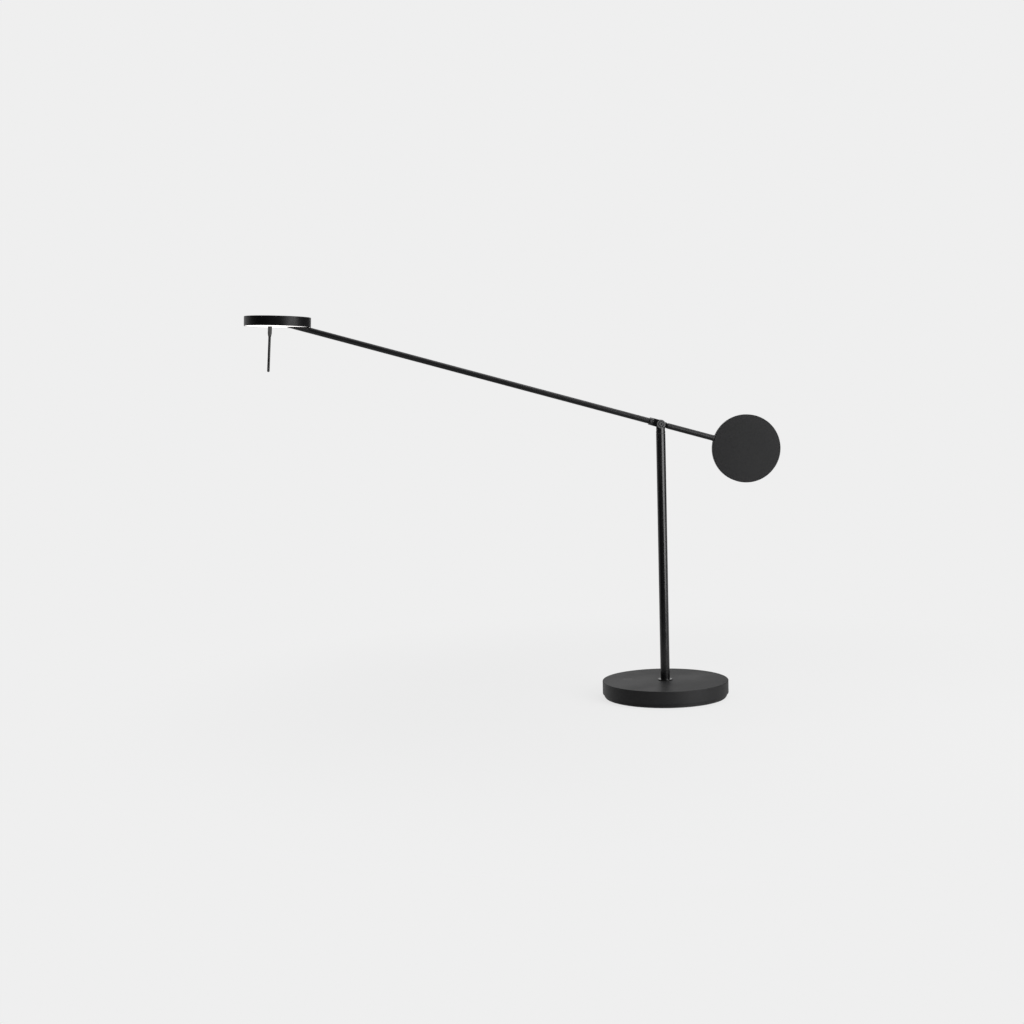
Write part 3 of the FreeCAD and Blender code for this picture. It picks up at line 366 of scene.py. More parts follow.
def opal_glass(name, shade, glow):
    """Lit opal acrylic: nearly even, with faint clouds."""
    made, place, principled = material(name, Base_Color=(0.9, 0.9, 0.88), Roughness=0.28,
                                       Emission_Strength=glow)
    soft = noise(place, LENS_CLOUDS, 1.0).step(0.2, 0.8)
    plug(place.tree, principled.inputs["Emission Color"], soft.blend(scaled(shade, 0.97), shade))
    finish(place, principled, bump=noise(place, LENS_GRAIN), depth=0.01 * MM, strength=0.1)
    return made


def switch_face(name, shade, centre, ring):
    """Satin disc with one plain printed ring."""
    made, place, principled = material(name, Specular_IOR_Level=0.15)
    out = distance(place, centre=centre, keep=(1.0, 1.0, 0.0))
    line = 1 - abs(out - ring).step(0.28 * MM, 0.42 * MM)
    peel = noise(place, POWDER_PEEL, 2.0, 0.6)
    finish(place, principled, base=(0.9 * line).blend(shade, (0.08, 0.08, 0.08)),
           roughness=0.42 + 0.1 * peel, bump=peel, depth=0.06 * MM, strength=0.35)
    return made


FINISH_OF = {}


def prepare_finishes():
    """Make one material for each of the record's slots."""
    looks = bpy.context.scene.lamp_finish
    powder, satin, dark, rubber = (tuple(getattr(looks, field))
                                   for field in ("powder", "satin", "blackened", "rubber"))
    lowest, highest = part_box("touch_disc")
    middle = (lowest + highest) / 2
    zinc = (0.5, 0.5, 0.49)
    FINISH_OF.update({
        "pad_rubber": moulded("Pad rubber", rubber, 0.75),
        "plate_paint": powder_coat("Plate coat", scaled(powder, 0.9)),
        "cover_paint": powder_coat("Cover coat", powder),
        # The weight's coat is the base's powder coat painted darker: painted shade for the extra light that falls
        # on its face.
        "weight_paint": powder_coat("Weight coat", scaled(powder, 0.85), level=0.08),
        "head_paint": satin_paint("Head paint", scaled(satin, 0.6), 0.36, 0.16),
        "ballast_iron": cast_iron("Ballast iron"),
        "fastener_steel": steel("Zinc plated steel", zinc),
        "board_green": circuit_board("Circuit board"),
        "nylon": moulded("Nylon", (0.03, 0.03, 0.03), 0.5),
        "touch_mark": switch_face("Switch face", powder, middle, bpy.context.scene.lamp_base.ring),
        "grommet_rubber": moulded("Grommet rubber", rubber, 0.6),
        "pole_paint": satin_paint("Pole paint", satin, 0.2, 0.3),
        "arm_paint": satin_paint("Arm paint", satin, 0.36, 0.2),
        "joint_paint": joint_paint("Joint paint", satin, looks.wear),
        "lever_black": satin_paint("Lever paint", satin, 0.36),
        "lead_sleeve": moulded("Lead sleeve", (0.03, 0.03, 0.03), 0.45),
        "pivot_black": steel("Blackened steel", dark, 0.45, metallic=0.3),
        "well_black": moulded("Well black", (0.01, 0.01, 0.01), 0.8),
        "opal": opal_glass("Opal", tuple(looks.opal), looks.glow),
        "heat_spreader": steel("Heat spreader", (0.8, 0.8, 0.78), 0.5, metallic=0.2),
        "chip_yellow": moulded("Phosphor", (0.8, 0.6, 0.12), 0.4),
        "boot_rubber": moulded("Boot rubber", scaled(rubber, 2.0), 0.55),
    })


# ---------------------------------------------------------------- shapes


def along(place=(0, 0, 0), axis="Z"):
    """Lay a shape drawn along Z along another axis, at a place."""
    turn = {"X": Matrix.Rotation(math.pi / 2, 4, "Y"), "Y": Matrix.Rotation(-math.pi / 2, 4, "X"),
            "Z": Matrix.Identity(4)}[axis]
    return Matrix.Translation(place) @ turn


def arm_space():
    """The arm's own axes: +Z from the pivot to the head, +X square to it and upwards."""
    return Matrix.Translation(PIVOT) @ Matrix.Rotation(LEAN, 4, "Y")


def head_space():
    return Matrix.Translation(HINGE) @ Matrix.Rotation(bpy.context.scene.lamp_head.tilt, 4, "Y")


def turned(corners, closed=False, steps=96, place=None):
    """Spin (radius, height, rounding) corners about Z: a chain from axis to axis, or a closed loop."""
    bm = bmesh.new()
    corners = [(*corner, 0.0)[:3] for corner in corners]
    chain = [bm.verts.new((radius, 0, height)) for radius, height, _ in corners]
    pairs = list(zip(chain, chain[1:] + chain[:1])) if closed else list(zip(chain, chain[1:]))
    edges = [bm.edges.new(pair) for pair in pairs]
    bmesh.ops.spin(bm, geom=chain + edges, cent=(0, 0, 0), axis=(0, 0, 1), angle=2 * math.pi, steps=steps,
                   use_merge=True)
    bmesh.ops.remove_doubles(bm, verts=bm.verts, dist=1e-6)
    for radius, height, rounding in corners:
        if rounding:
            ring = [edge for edge in bm.edges
                    if all(abs(vert.co.z - height) < 1e-6 and abs(vert.co.xy.length - radius) < 1e-6
                           for vert in edge.verts)]
            bmesh.ops.bevel(bm, geom=ring, offset=rounding, offset_type="OFFSET", segments=5, profile=0.5,
                            affect="EDGES", material=-1, clamp_overlap=True)
    bmesh.ops.recalc_face_normals(bm, faces=bm.faces)
    if place is not None:
        bmesh.ops.transform(bm, matrix=place, verts=bm.verts)
    return bm


def plug_shape(radius, start, end, steps=64, place=None):
    """Plain round plug, for joining or cutting."""
    return turned([(0, start), (radius, start), (radius, end), (0, end)], steps=steps, place=place)


def block(lowest, highest, place=None):
    """Box between two corners, for joining or cutting."""
    bm = bmesh.new()
    bmesh.ops.create_cube(bm, size=1.0)
    size = Vector(highest) - Vector(lowest)
    bmesh.ops.scale(bm, vec=size, verts=bm.verts)
    bmesh.ops.translate(bm, vec=(Vector(highest) + Vector(lowest)) / 2, verts=bm.verts)
    if place is not None:
        bmesh.ops.transform(bm, matrix=place, verts=bm.verts)
    return bm


def hexagon(flats, start, end, place):
    """Hexagonal key, for cutting sockets."""
    bm = bmesh.new()
    bmesh.ops.create_cone(bm, cap_ends=True, segments=6, radius1=flats / math.sqrt(3),
                          radius2=flats / math.sqrt(3), depth=end - start)
    bmesh.ops.transform(bm, matrix=place @ Matrix.Translation((0, 0, (start + end) / 2)), verts=bm.verts)
    return bm


def as_object(name, bm):
    mesh = bpy.data.meshes.new(name)
    bm.to_mesh(mesh)
    bm.free()
    made = bpy.data.objects.new(name, mesh)
    bpy.context.scene.collection.objects.link(made)
    return made


def settle(piece):
    """Apply the piece's modifiers to its mesh."""
    bpy.context.view_layer.update()
    mesh = bpy.data.meshes.new_from_object(piece.evaluated_get(bpy.context.evaluated_depsgraph_get()))
    piece.modifiers.clear()
    piece.data = mesh


def carve(piece, cutters, operation="DIFFERENCE"):
    """Cut shapes out of a piece, or join them to it."""
    tools = [as_object("tool", cutter) for cutter in cutters]
    for tool in tools:
        made = piece.modifiers.new(operation, "BOOLEAN")
        made.operation, made.solver, made.object = operation, "EXACT", tool
    settle(piece)
    for tool in tools:
        bpy.data.objects.remove(tool)


def complete(piece, body, nodes, soften=0.0):
    """Round the last edges, shade, finish and hang the piece on its body in place of its CAD nodes."""
    if soften:
        made = piece.modifiers.new("Soft edges", "BEVEL")
        made.width, made.segments, made.limit_method = soften, 3, "ANGLE"
        made.angle_limit, made.use_clamp_overlap, made.miter_outer = SHARP, True, "MITER_ARC"
        settle(piece)
    piece.data.materials.clear()
    slot = SLOTS[nodes[0]]
    piece.data.materials.append(FINISH_OF[slot])
    piece.data.polygons.foreach_set("use_smooth", [True] * len(piece.data.polygons))
    piece.data.set_sharp_from_angle(angle=SHARP)
    weighted = piece.modifiers.new("Even shading", "WEIGHTED_NORMAL")
    weighted.keep_sharp, weighted.weight = True, 60
    settle(piece)
    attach(piece, body)
    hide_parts(*nodes)
    return piece


# ---------------------------------------------------------------- base


def build_foot(sizes):
    edge = high("foot_pad", "x")
    top = high("foot_pad", "z")
    pad = as_object("foot_pad_rubber", turned([(0, 0), (edge, 0, 0.3 * MM), (edge, top, 0.2 * MM), (0, top)],
                                              steps=192))
    complete(pad, "base", ["foot_pad"])
    edge = high("base_plate", "x")
    floor = high("base_plate", "z")
    under, seat = low("base_plate", "z"), low("base_cover", "z")
    lip = high("base_cover", "x") - sizes.wall - 0.2 * MM
    plate = as_object("lower_tier", turned([(0, under), (edge, under, 0.5 * MM), (edge, seat, 0.25 * MM),
                                            (lip, seat), (lip, floor, 0.2 * MM), (0, floor)], steps=192))
    reach = high("base_cover", "x") - sizes.screw_inset
    spots = [Matrix.Rotation(turn * math.pi / 2 + math.pi / 4, 4, "Z") @ Matrix.Translation((reach, 0, 0))
             for turn in range(4)]
    head, shank, deep = 4 * MM, 2 * MM, 2.2 * MM
    sink = [(0, under - MM), (head, under - MM), (head, under), (shank, under + deep),
            (shank, floor + MM), (0, floor + MM)]
    carve(plate, [turned(sink, steps=32, place=spot) for spot in spots])
    complete(plate, "base", ["base_plate"])
    return spots


def build_cover(sizes, spots):
    """The upper tier, hollow, with its bosses, the switch's recess and the inlet's hole."""
    seat, top = low("base_cover", "z"), high("base_cover", "z")
    edge = high("base_cover", "x")
    under = top - sizes.top
    floor, rest = high("base_plate", "z"), high("ballast", "z")
    bore, hub = sizes.pole_bore / 2 + 0.2 * MM, 12 * MM
    boss, shank, boss_depth = 4.5 * MM, 2 * MM, 9 * MM
    inlet_hole, inlet_spot, spot_depth = 4 * MM, 5.6 * MM, 0.4 * MM
    cover = as_object("upper_tier", turned(
        [(bore, rest), (hub, rest), (hub, under, 0.5 * MM), (edge - sizes.wall, under, 0.8 * MM),
         (edge - sizes.wall, seat), (edge, seat, 0.25 * MM), (edge, top, sizes.edge), (bore, top)],
        closed=True, steps=192))
    carve(cover, [plug_shape(boss, floor, under + MM, 32, spot) for spot in spots], "UNION")
    lowest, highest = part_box("touch_disc")
    middle = (lowest + highest) / 2
    inlet_low, inlet_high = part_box("cord_grommet")
    inlet = (0, 0, (inlet_low.z + inlet_high.z) / 2)
    recess = (highest.x - lowest.x) / 2 + 0.1 * MM
    carve(cover, [plug_shape(shank, floor - MM, floor + boss_depth, 32, spot) for spot in spots]
          + [plug_shape(recess, lowest.z, top + MM, 96, along((*middle.xy, 0))),
             plug_shape(inlet_hole, edge - 2 * sizes.wall, edge + MM, 64, along(inlet, "Y")),
             plug_shape(inlet_spot, edge - spot_depth, edge + MM, 64, along(inlet, "Y"))])
    complete(cover, "base", ["base_cover"])


def build_switch():
    """Flat disc that lies flush in the cover's recess."""
    lowest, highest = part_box("touch_disc")
    middle = (lowest + highest) / 2
    radius = (highest.x - lowest.x) / 2
    disc = as_object("touch_switch", turned([(0, lowest.z), (radius, lowest.z), (radius, highest.z, 0.2 * MM),
                                             (0, highest.z)], steps=96, place=along((*middle.xy, 0))))
    complete(disc, "base", ["touch_disc"])


def build_grommet():
    """Rubber bush with two rounded lips, on the inlet's axis."""
    lowest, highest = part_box("cord_grommet")
    bore, neck, lip, thick = 2.5 * MM, 4 * MM, (highest.x - lowest.x) / 2, 1.5 * MM
    start, end = lowest.y, highest.y
    grommet = as_object("inlet_grommet", turned(
        [(bore, start, 0.4 * MM), (lip, start, 0.5 * MM), (lip, start + thick, 0.3 * MM),
         (neck, start + thick), (neck, end - thick), (lip, end - thick, 0.3 * MM), (lip, end, 0.7 * MM),
         (bore, end, 0.6 * MM)],
        closed=True, steps=72, place=along((0, 0, (lowest.z + highest.z) / 2), "Y")))
    complete(grommet, "base", ["cord_grommet"])


def build_pole(sizes):
    """Drawn tube with a grub screw's hole near its top, and the flared collar at its foot."""
    bottom, top, radius = low("pole", "z"), high("pole", "z"), high("pole", "x")
    bore = sizes.pole_bore / 2
    pole = as_object("pole_tube", turned([(bore, bottom), (radius, bottom), (radius, top, 0.25 * MM),
                                          (bore, top)], closed=True, steps=128))
    lowest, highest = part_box("bush_screw")
    middle = (lowest + highest) / 2
    bearing = math.atan2(middle.y, middle.x)
    hole = Matrix.Rotation(bearing, 4, "Z") @ along((0, 0, middle.z), "X")
    grub = 1.5 * MM
    carve(pole, [plug_shape(grub, bore / 2, 2 * radius, 32, hole)])
    complete(pole, "base", ["pole"])
    foot, rim, crown = low("pole_collar", "z"), high("pole_collar", "x"), high("pole_collar", "z")
    collar = as_object("pole_foot", turned(
        [(radius, foot), (rim, foot, 0.1 * MM), (rim, crown, sizes.collar_edge), (radius, crown, 0.1 * MM)],
        closed=True, steps=128))
    complete(collar, "base", ["pole_collar"])


# ---------------------------------------------------------------- swivel, arm and counterweight


def build_fork(sizes):
    """Spigot, stem and two drums with the arm's slot between them."""
    bottom, radius = low("swivel_fork", "z"), high("pole", "x")
    face, groove, clip = high("swivel_fork", "y"), high("swivel_clip", "z"), 0.8 * MM
    spigot, bore, waist, neck = 3.95 * MM, 1.7 * MM, 3.2 * MM, PIVOT.z - 4 * MM
    fork = as_object("swivel_head", turned(
        [(bore, bottom), (spigot, bottom, 0.3 * MM), (spigot, groove - clip), (waist, groove - clip),
         (waist, groove), (spigot, groove), (spigot, SEAM), (radius, SEAM, 0.3 * MM), (radius, neck),
         (bore, neck)], closed=True, steps=128))
    across = along((0, 0, PIVOT.z), "Y")
    carve(fork, [turned([(0, -face), (DRUM, -face, 0.7 * MM), (DRUM, face, 0.7 * MM), (0, face)],
                        steps=96, place=across)], "UNION")
    cap = high("pivot_barrel", "z") - PIVOT.z + 0.3 * MM
    seat, barrel = face - 2.6 * MM, 2.5 * MM
    carve(fork, [block((-2 * radius, -sizes.slot / 2, PIVOT.z - sizes.slot_depth),
                       (2 * radius, sizes.slot / 2, PIVOT.z + 2 * DRUM)),
                 plug_shape(barrel, -2 * face, 2 * face, 64, across),
                 plug_shape(cap, -2 * face, -seat, 64, across), plug_shape(cap, seat, 2 * face, 64, across)])
    complete(fork, "swivel", ["swivel_fork"], soften=0.18 * MM)


def build_pivot():
    """Barrel and screw with rounded caps and hexagon sockets."""
    across = along((0, 0, PIVOT.z), "Y")
    front, rear = low("pivot_screw", "y"), high("pivot_barrel", "y")
    cap, seat = high("pivot_barrel", "z") - PIVOT.z, -low("pivot_barrel", "y")
    end = high("pivot_screw", "y")
    thread, barrel, key, key_depth = 1.5 * MM, 2.5 * MM, 2.5 * MM, 1.5 * MM
    screw = as_object("pivot_cap_screw", turned(
        [(0, front), (cap, front, 0.5 * MM), (cap, -seat), (thread, -seat), (thread, end, 0.2 * MM),
         (0, end)], steps=72, place=across))
    carve(screw, [hexagon(key, front - MM, front + key_depth, across)])
    complete(screw, "swivel", ["pivot_screw"], soften=0.08 * MM)
    nut = as_object("pivot_cap_barrel", turned(
        [(0, seat), (thread, seat), (thread, -seat), (barrel, -seat), (barrel, seat), (cap, seat),
         (cap, rear, 0.5 * MM), (0, rear)], steps=72, place=across))
    carve(nut, [hexagon(key, rear - key_depth, rear + MM, across)])
    complete(nut, "swivel", ["pivot_barrel"], soften=0.08 * MM)


def build_knuckle(sizes):
    """Flat tongue round the pivot, the sleeve that takes the arm and the seat of the tail rod."""
    radius, half = high("arm_knuckle", "y"), sizes.tongue / 2
    arm = high("arm_tube", "y")
    pivot_bore, pin, pin_long, grub, grub_at = 2.55 * MM, 2 * MM, 3 * MM, 1.5 * MM, 14.8 * MM
    knuckle = as_object("arm_yoke", turned([(0, -half), (radius, -half), (radius, half), (0, half)],
                                           place=along((0, 0, 0), "Y")))
    carve(knuckle, [block((-radius, -half, 0), (radius, half, sizes.sleeve_start + 0.5 * MM)),
                    block((-arm, -half, -sizes.tail_start), (arm, half, 0)),
                    turned([(0, sizes.sleeve_start), (radius, sizes.sleeve_start, 0.3 * MM),
                            (radius, sizes.sleeve_end, 0.8 * MM), (0, sizes.sleeve_end)])], "UNION")
    carve(knuckle, [plug_shape(pivot_bore, -2 * half, 2 * half, 64, along((0, 0, 0), "Y")),
                    plug_shape(arm, sizes.sleeve_start + 0.5 * MM, sizes.sleeve_end + MM, 64),
                    plug_shape(pin, -sizes.tail_start - MM, pin_long - sizes.tail_start, 48),
                    plug_shape(grub, -2 * radius, 0, 32, along((0, 0, grub_at), "Y"))])
    knuckle.data.transform(arm_space())
    complete(knuckle, "arm", ["arm_knuckle"], soften=0.2 * MM)


def build_arm(sizes):
    """Long drawn tube and the turning end piece with its flat eye."""
    radius = high("arm_tube", "y")
    start, end = sizes.sleeve_start + 0.5 * MM, REACH - sizes.tip_long
    bore = radius - sizes.wall
    tube = as_object("arm_bar", turned([(bore, start), (radius, start), (radius, end, 0.2 * MM), (bore, end)],
                                       closed=True, steps=96))
    screw, screw_at, spigot_long, groove_half = 1.25 * MM, end - 9 * MM, 18 * MM, 1.5 * MM
    carve(tube, [plug_shape(screw, 0, 2 * radius, 32, along((0, 0, screw_at), "Y"))])
    tube.data.transform(arm_space())
    complete(tube, "arm", ["arm_tube"])
    spigot, groove = bore - 0.05 * MM, bore - 0.9 * MM
    tip = as_object("arm_end", turned(
        [(0, end - spigot_long), (spigot, end - spigot_long, 0.3 * MM), (spigot, screw_at - groove_half),
         (groove, screw_at - groove_half), (groove, screw_at + groove_half), (spigot, screw_at + groove_half),
         (spigot, end + 0.1 * MM), (radius, end + 0.1 * MM, 0.2 * MM), (radius, REACH), (0, REACH)]))
    flat, flat_long, eye, eye_bore = 3 * MM, 11 * MM, 4.1 * MM, 1.55 * MM
    lead, lead_end, way_out, way_out_at = 1.4 * MM, REACH - 12 * MM, 1.5 * MM, REACH - 13.4 * MM
    carve(tip, [block((-2 * radius, flat, REACH - flat_long), (2 * radius, 2 * radius, REACH + radius)),
                block((-2 * radius, -2 * radius, REACH - flat_long), (2 * radius, -flat, REACH + radius))])
    carve(tip, [plug_shape(eye, -flat, flat, 64, along((0, 0, REACH), "Y"))], "UNION")
    carve(tip, [plug_shape(eye_bore, -2 * radius, 2 * radius, 48, along((0, 0, REACH), "Y")),
                plug_shape(lead, end - spigot_long - MM, lead_end, 32),
                plug_shape(way_out, 0, 2 * radius, 32, along((0, 0, way_out_at), "X"))])
    tip.data.transform(arm_space())
    complete(tip, "tip", ["arm_tip"], soften=0.15 * MM)


def build_tail(sizes):
    """Tail rod, jam nut and the round counterweight."""
    lowest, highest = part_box("counterweight")
    middle = arm_space().inverted() @ ((lowest + highest) / 2)
    radius, half = (highest.x - lowest.x) / 2, highest.y
    seat = middle.z + radius - 0.5 * MM
    arm, nut = high("tail_rod", "y"), high("jam_nut", "y")
    face, thread, thread_long = seat + 2 * MM, 3 * MM, 26 * MM
    nose, pin, pin_end = 3.2 * MM, 2 * MM, 3 * MM - sizes.tail_start
    rod = as_object("tail_bar", turned(
        [(0, seat - thread_long), (thread, seat - thread_long, 0.4 * MM), (thread, face),
         (arm, face, 0.2 * MM), (arm, -sizes.tail_start - sizes.tail_taper, 0.4 * MM),
         (nose, -sizes.tail_start, 0.2 * MM), (pin, -sizes.tail_start), (pin, pin_end), (0, pin_end)],
        place=arm_space()))
    complete(rod, "arm", ["tail_rod"])
    ring = as_object("weight_nut", turned([(thread, seat), (nut, seat, 0.2 * MM), (nut, face, 0.35 * MM),
                                           (thread, face)], closed=True, steps=72, place=arm_space()))
    complete(ring, "arm", ["jam_nut"])
    weight = as_object("balance_weight", turned(
        [(0, -half), (radius, -half, sizes.weight_edge), (radius, half, sizes.weight_edge), (0, half)],
        steps=192, place=along(middle, "Y")))
    carve(weight, [plug_shape(nut + 0.1 * MM, seat, 0, 64),
                   plug_shape(thread, seat - thread_long - MM, 0, 48)])
    weight.data.transform(arm_space())
    complete(weight, "arm", ["counterweight"])


# ---------------------------------------------------------------- head


def build_shell(sizes):
    """Shallow cup, open below, with the ledge that the lens sits against."""
    radius, half = high("head_housing", "y"), sizes.thick / 2
    lens_back = sizes.lens_recess + sizes.lens_thick - half
    roof, wall, trough_roof = half - 2 * MM, radius - sizes.rim, 2.4 * MM
    shell = as_object("head_shell", turned(
        [(0, roof), (wall - sizes.ledge, roof, 0.4 * MM), (wall - sizes.ledge, lens_back),
         (wall, lens_back), (wall, -half, 0.2 * MM), (radius, -half, 0.35 * MM), (radius, half, sizes.edge),
         (0, half)], steps=192))
    trough = high("arm_well", "y") + 0.1 * MM
    turn = wall - 0.15 * MM - trough
    carve(shell, [plug_shape(trough, lens_back - MM, trough_roof, 48, along((turn, 0, 0))),
                  block((0, -trough, lens_back - MM), (turn, trough, trough_roof))])
    shell.data.transform(head_space())
    complete(shell, "head", ["head_housing"])


def build_lever(sizes):
    """Thin lever with a rounded end, and the tapered boot at its root."""
    face = sizes.lens_recess - sizes.thick / 2
    place = (head_space() @ Matrix.Translation((-sizes.lever_at, 0, face))
             @ Matrix.Rotation(sizes.lever_lean, 4, "Y"))
    radius = high("lever_rod", "y")
    top = sizes.thick - sizes.lens_recess - 2.1 * MM
    rod = as_object("aiming_lever", turned([(0, -sizes.lever_reach), (radius, -sizes.lever_reach, 1.5 * MM),
                                            (radius, top), (0, top)], steps=48, place=place))
    complete(rod, "head", ["lever_rod"])
    wide, narrow, end, inside = high("lever_boot", "y"), 2.2 * MM, -sizes.boot_long - 4.5 * MM, 2.2 * MM
    boot = as_object("lever_sleeve", turned(
        [(radius, end), (narrow, end, 0.15 * MM), (wide, -sizes.boot_long, 1.2 * MM), (wide, inside),
         (radius, inside)], closed=True, steps=64, place=place))
    complete(boot, "head", ["lever_boot"])


# ---------------------------------------------------------------- stage


def lamp(name, place, aim, size, power, diffuse=True, glossy=True):
    """Softbox at a place, aimed at a point; it lights, shows in reflections, or both."""
    data = bpy.data.lights.new(name, "AREA")
    data.shape, data.size, data.size_y, data.energy = "RECTANGLE", *size, power
    made = bpy.data.objects.new(name, data)
    made.visible_camera, made.visible_diffuse, made.visible_glossy = False, diffuse, glossy
    made.location = place
    made.rotation_euler = (Vector(aim) - Vector(place)).to_track_quat("-Z", "Y").to_euler()
    bpy.context.scene.collection.objects.link(made)


def show_pale(made, keep=1.0):
    """What to keep of the stage's own colour for camera, glossy and transmission rays, and 0 for others."""
    tree = made.node_tree
    path = tree.nodes.new("ShaderNodeLightPath")
    rays = (Wire(tree, path.outputs["Is Camera Ray"]) + Wire(tree, path.outputs["Is Glossy Ray"])
            + Wire(tree, path.outputs["Is Transmission Ray"])).step(0.4, 0.6)
    return rays * keep


def build_floor(shade):
    """Wide round floor: lit and shadowed near the lamp, and of the backdrop's own colour further out."""
    wide, top, bottom = 6.0, -0.4 * MM, -4 * MM
    floor = as_object("floor", turned([(0, top), (wide, top), (wide, bottom), (0, bottom)], steps=128))
    made, place, principled = material("Floor", Base_Color=shade, Roughness=0.9, Specular_IOR_Level=0.0)
    tree = made.node_tree
    near, far = 0.25, 0.9
    rays = show_pale(made, 0.85 + 0.15 * distance(place).step(near, far))
    glow = place.node("ShaderNodeEmission", {}, Color=shade, Strength=1.0)
    mixed = place.node("ShaderNodeMixShader", {}, _0=rays)
    tree.links.new(principled.outputs[0], mixed.inputs[1])
    tree.links.new(glow.outputs[0], mixed.inputs[2])
    tree.links.new(mixed.outputs[0], tree.nodes["Material Output"].inputs["Surface"])
    floor.data.materials.append(made)


def build_screen(name, out, bearings, tall, glow):
    """Upright studio screen round the lamp, between two bearings in degrees, which only reflections show."""
    bm = bmesh.new()
    start, end = (math.radians(bearing) for bearing in bearings)
    foot = bm.verts.new((out * math.cos(start), out * math.sin(start), MM))
    head = bm.verts.new((foot.co.x, foot.co.y, tall))
    bmesh.ops.spin(bm, geom=[foot, head, bm.edges.new((foot, head))], cent=(0, 0, 0), axis=(0, 0, 1),
                   angle=end - start, steps=32)
    screen = as_object(name, bm)
    made, place, principled = material(name)
    tree = made.node_tree
    tree.links.new(place.node("ShaderNodeEmission", {}, Color=(1.0, 1.0, 1.0), Strength=glow).outputs[0],
                   tree.nodes["Material Output"].inputs["Surface"])
    screen.data.materials.append(made)
    screen.visible_camera = screen.visible_diffuse = screen.visible_shadow = False


def build_world(shade, fill):
    world = bpy.data.worlds.new("Backdrop")
    bpy.context.scene.world = world
    world.use_nodes = True
    tree = world.node_tree
    background = tree.nodes["Background"]
    rays = show_pale(world)
    plug(tree, background.inputs["Color"], rays.blend((fill, fill, fill), shade))


def build_camera():
    """Camera at the photograph's place, a little right-turned and rolled."""
    yaw, pitch, roll = 0.0239, -0.0785, -0.0262
    ahead = Vector((math.sin(yaw) * math.cos(pitch), math.cos(yaw) * math.cos(pitch), math.sin(pitch)))
    side = Vector((math.cos(yaw), -math.sin(yaw), 0))
    above = side.cross(ahead)
    right = math.cos(roll) * side + math.sin(roll) * above
    up = math.cos(roll) * above - math.sin(roll) * side
    data = bpy.data.cameras.new("Camera")
    data.sensor_width, data.lens, data.clip_end = 36.0, 54.91, 50.0
    camera = bpy.data.objects.new("Camera", data)
    camera.matrix_world = Matrix.Translation((-0.2817, -2.3360, 0.47035)) @ Matrix(
        (right, up, -ahead)).transposed().to_4x4()
    bpy.context.scene.collection.objects.link(camera)
    bpy.context.scene.camera = camera


# ---------------------------------------------------------------- operators and panel


class LAMP_OT_finishes(bpy.types.Operator):
    """Make the finishes and give them to the CAD pieces that stay"""

    bl_idname = "lamp.finishes"
    bl_label = "Finishes"

    def execute(self, context):
        prepare_finishes()
        for node, piece in frame["nodes"].items():
            for slot in piece.material_slots:
                slot.material = FINISH_OF[SLOTS[node]]
        return {"FINISHED"}


class LAMP_OT_base(bpy.types.Operator):
    """Build the foot pad, both tiers of the base, the switch and the inlet's grommet"""

    bl_idname = "lamp.base"
    bl_label = "Base"

    def execute(self, context):
        sizes = context.scene.lamp_base
        spots = build_foot(sizes)
        build_cover(sizes, spots)
        build_switch()
        build_grommet()
        return {"FINISHED"}


class LAMP_OT_pole(bpy.types.Operator):
    """Build the pole and its collar"""

    bl_idname = "lamp.pole"
    bl_label = "Pole"

    def execute(self, context):
        build_pole(context.scene.lamp_base)
        return {"FINISHED"}


class LAMP_OT_swivel(bpy.types.Operator):
    """Build the fork that turns on the pole and its pivot"""

    bl_idname = "lamp.swivel"
    bl_label = "Swivel"

    def execute(self, context):
        build_fork(context.scene.lamp_arm)
        build_pivot()
        return {"FINISHED"}


class LAMP_OT_arm(bpy.types.Operator):
    """Build the knuckle, the arm and its turning end"""

    bl_idname = "lamp.arm"
    bl_label = "Arm"

    def execute(self, context):
        build_knuckle(context.scene.lamp_arm)
        build_arm(context.scene.lamp_arm)
        return {"FINISHED"}


class LAMP_OT_weight(bpy.types.Operator):
    """Build the tail rod, its nut and the counterweight"""

    bl_idname = "lamp.weight"
    bl_label = "Counterweight"

    def execute(self, context):
        build_tail(context.scene.lamp_arm)
        return {"FINISHED"}


class LAMP_OT_head(bpy.types.Operator):
    """Build the head's shell and the aiming lever with its boot"""

    bl_idname = "lamp.head"
    bl_label = "Head"

    def execute(self, context):
        build_shell(context.scene.lamp_head)
        build_lever(context.scene.lamp_head)
        return {"FINISHED"}


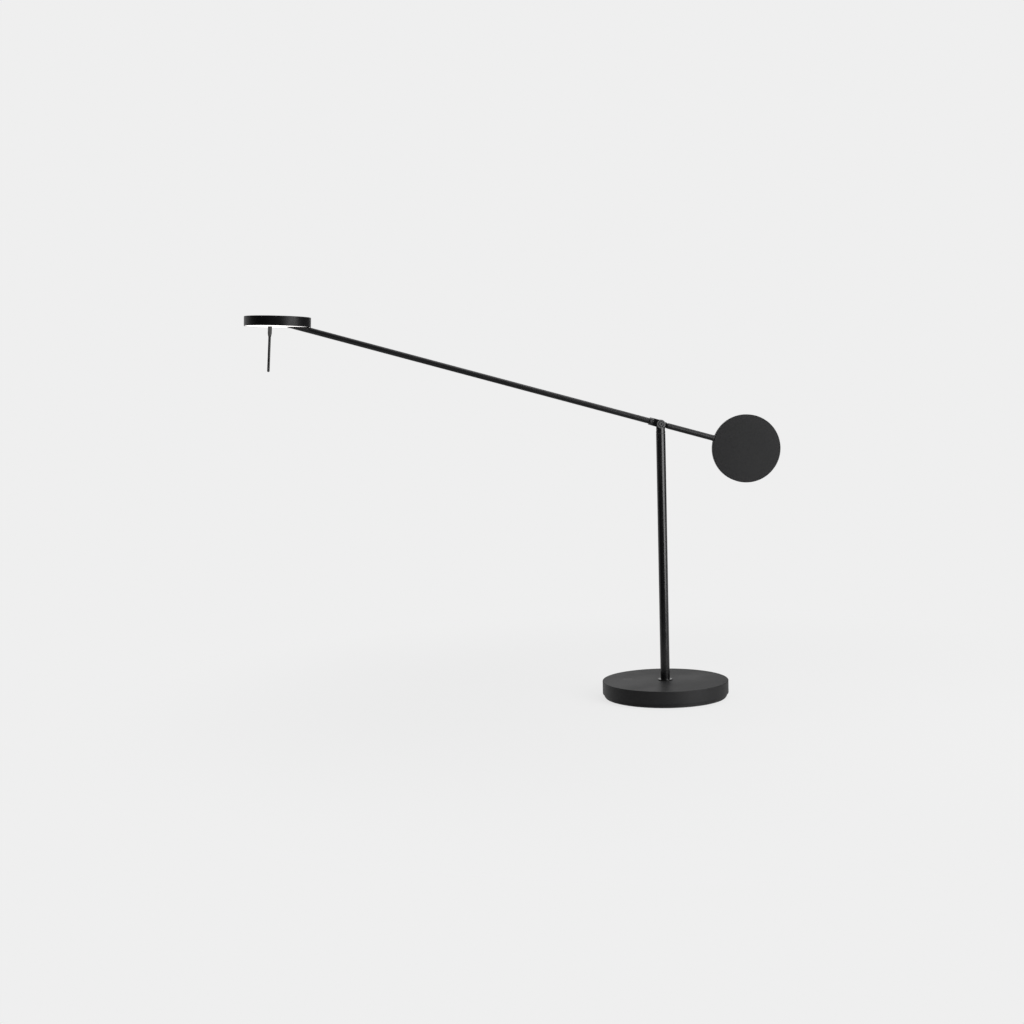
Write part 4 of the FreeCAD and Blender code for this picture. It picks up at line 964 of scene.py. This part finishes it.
class LAMP_OT_stage(bpy.types.Operator):
    """Build the floor, the backdrop, the lights and the camera"""

    bl_idname = "lamp.stage"
    bl_label = "Stage"

    def execute(self, context):
        shade = tuple(context.scene.lamp_finish.backdrop)
        build_floor(shade)
        build_screen("dark_screen", out=3.0, bearings=(-187, -72), tall=3.0, glow=0.04)
        build_screen("low_screen", out=0.45, bearings=(-172, -62), tall=0.27, glow=0.03)
        build_screen("side_screen", out=3.0, bearings=(-14, 75), tall=3.0, glow=0.12)
        build_world(shade, fill=0.3)
        lamp("Overhead softbox", place=(0.35, 0.2, 1.9), aim=(0.1, 0, 0.2), size=(1.2, 1.0), power=14.5)
        lamp("Side softbox", place=(1.42, -1.28, 0.8), aim=(0, 0, 0.35), size=(1.3, 1.5), power=32.0,
             glossy=False)
        lamp("Strip softbox", place=(0.61, -0.73, 0.55), aim=(0, 0, 0.55), size=(0.8, 1.05), power=20.0,
             diffuse=False)
        build_camera()
        context.scene.view_settings.view_transform = "Standard"
        return {"FINISHED"}


class LAMP_PT_panel(bpy.types.Panel):
    """Lists the lamp's sizes and building steps"""

    bl_idname = "LAMP_PT_panel"
    bl_label = "Desk lamp"
    bl_space_type = "VIEW_3D"
    bl_region_type = "UI"
    bl_category = "Lamp"

    def draw(self, context):
        for step in STEPS:
            self.layout.operator(step.bl_idname)
        for name, group in GROUPS.items():
            box = self.layout.box()
            for field in group.__annotations__:
                box.prop(getattr(context.scene, name), field)


STEPS = (LAMP_OT_finishes, LAMP_OT_base, LAMP_OT_pole, LAMP_OT_swivel, LAMP_OT_arm, LAMP_OT_weight,
         LAMP_OT_head, LAMP_OT_stage)


def register():
    for group in (*GROUPS.values(), *STEPS, LAMP_PT_panel):
        bpy.utils.register_class(group)
    for name, group in GROUPS.items():
        setattr(bpy.types.Scene, name, bpy.props.PointerProperty(type=group))


def unregister():
    for name in GROUPS:
        delattr(bpy.types.Scene, name)
    for group in reversed((*GROUPS.values(), *STEPS, LAMP_PT_panel)):
        bpy.utils.unregister_class(group)


def main():
    register()
    for step in STEPS:
        getattr(bpy.ops.lamp, step.bl_idname.split(".")[1])()


if __name__ == "__main__":
    main()
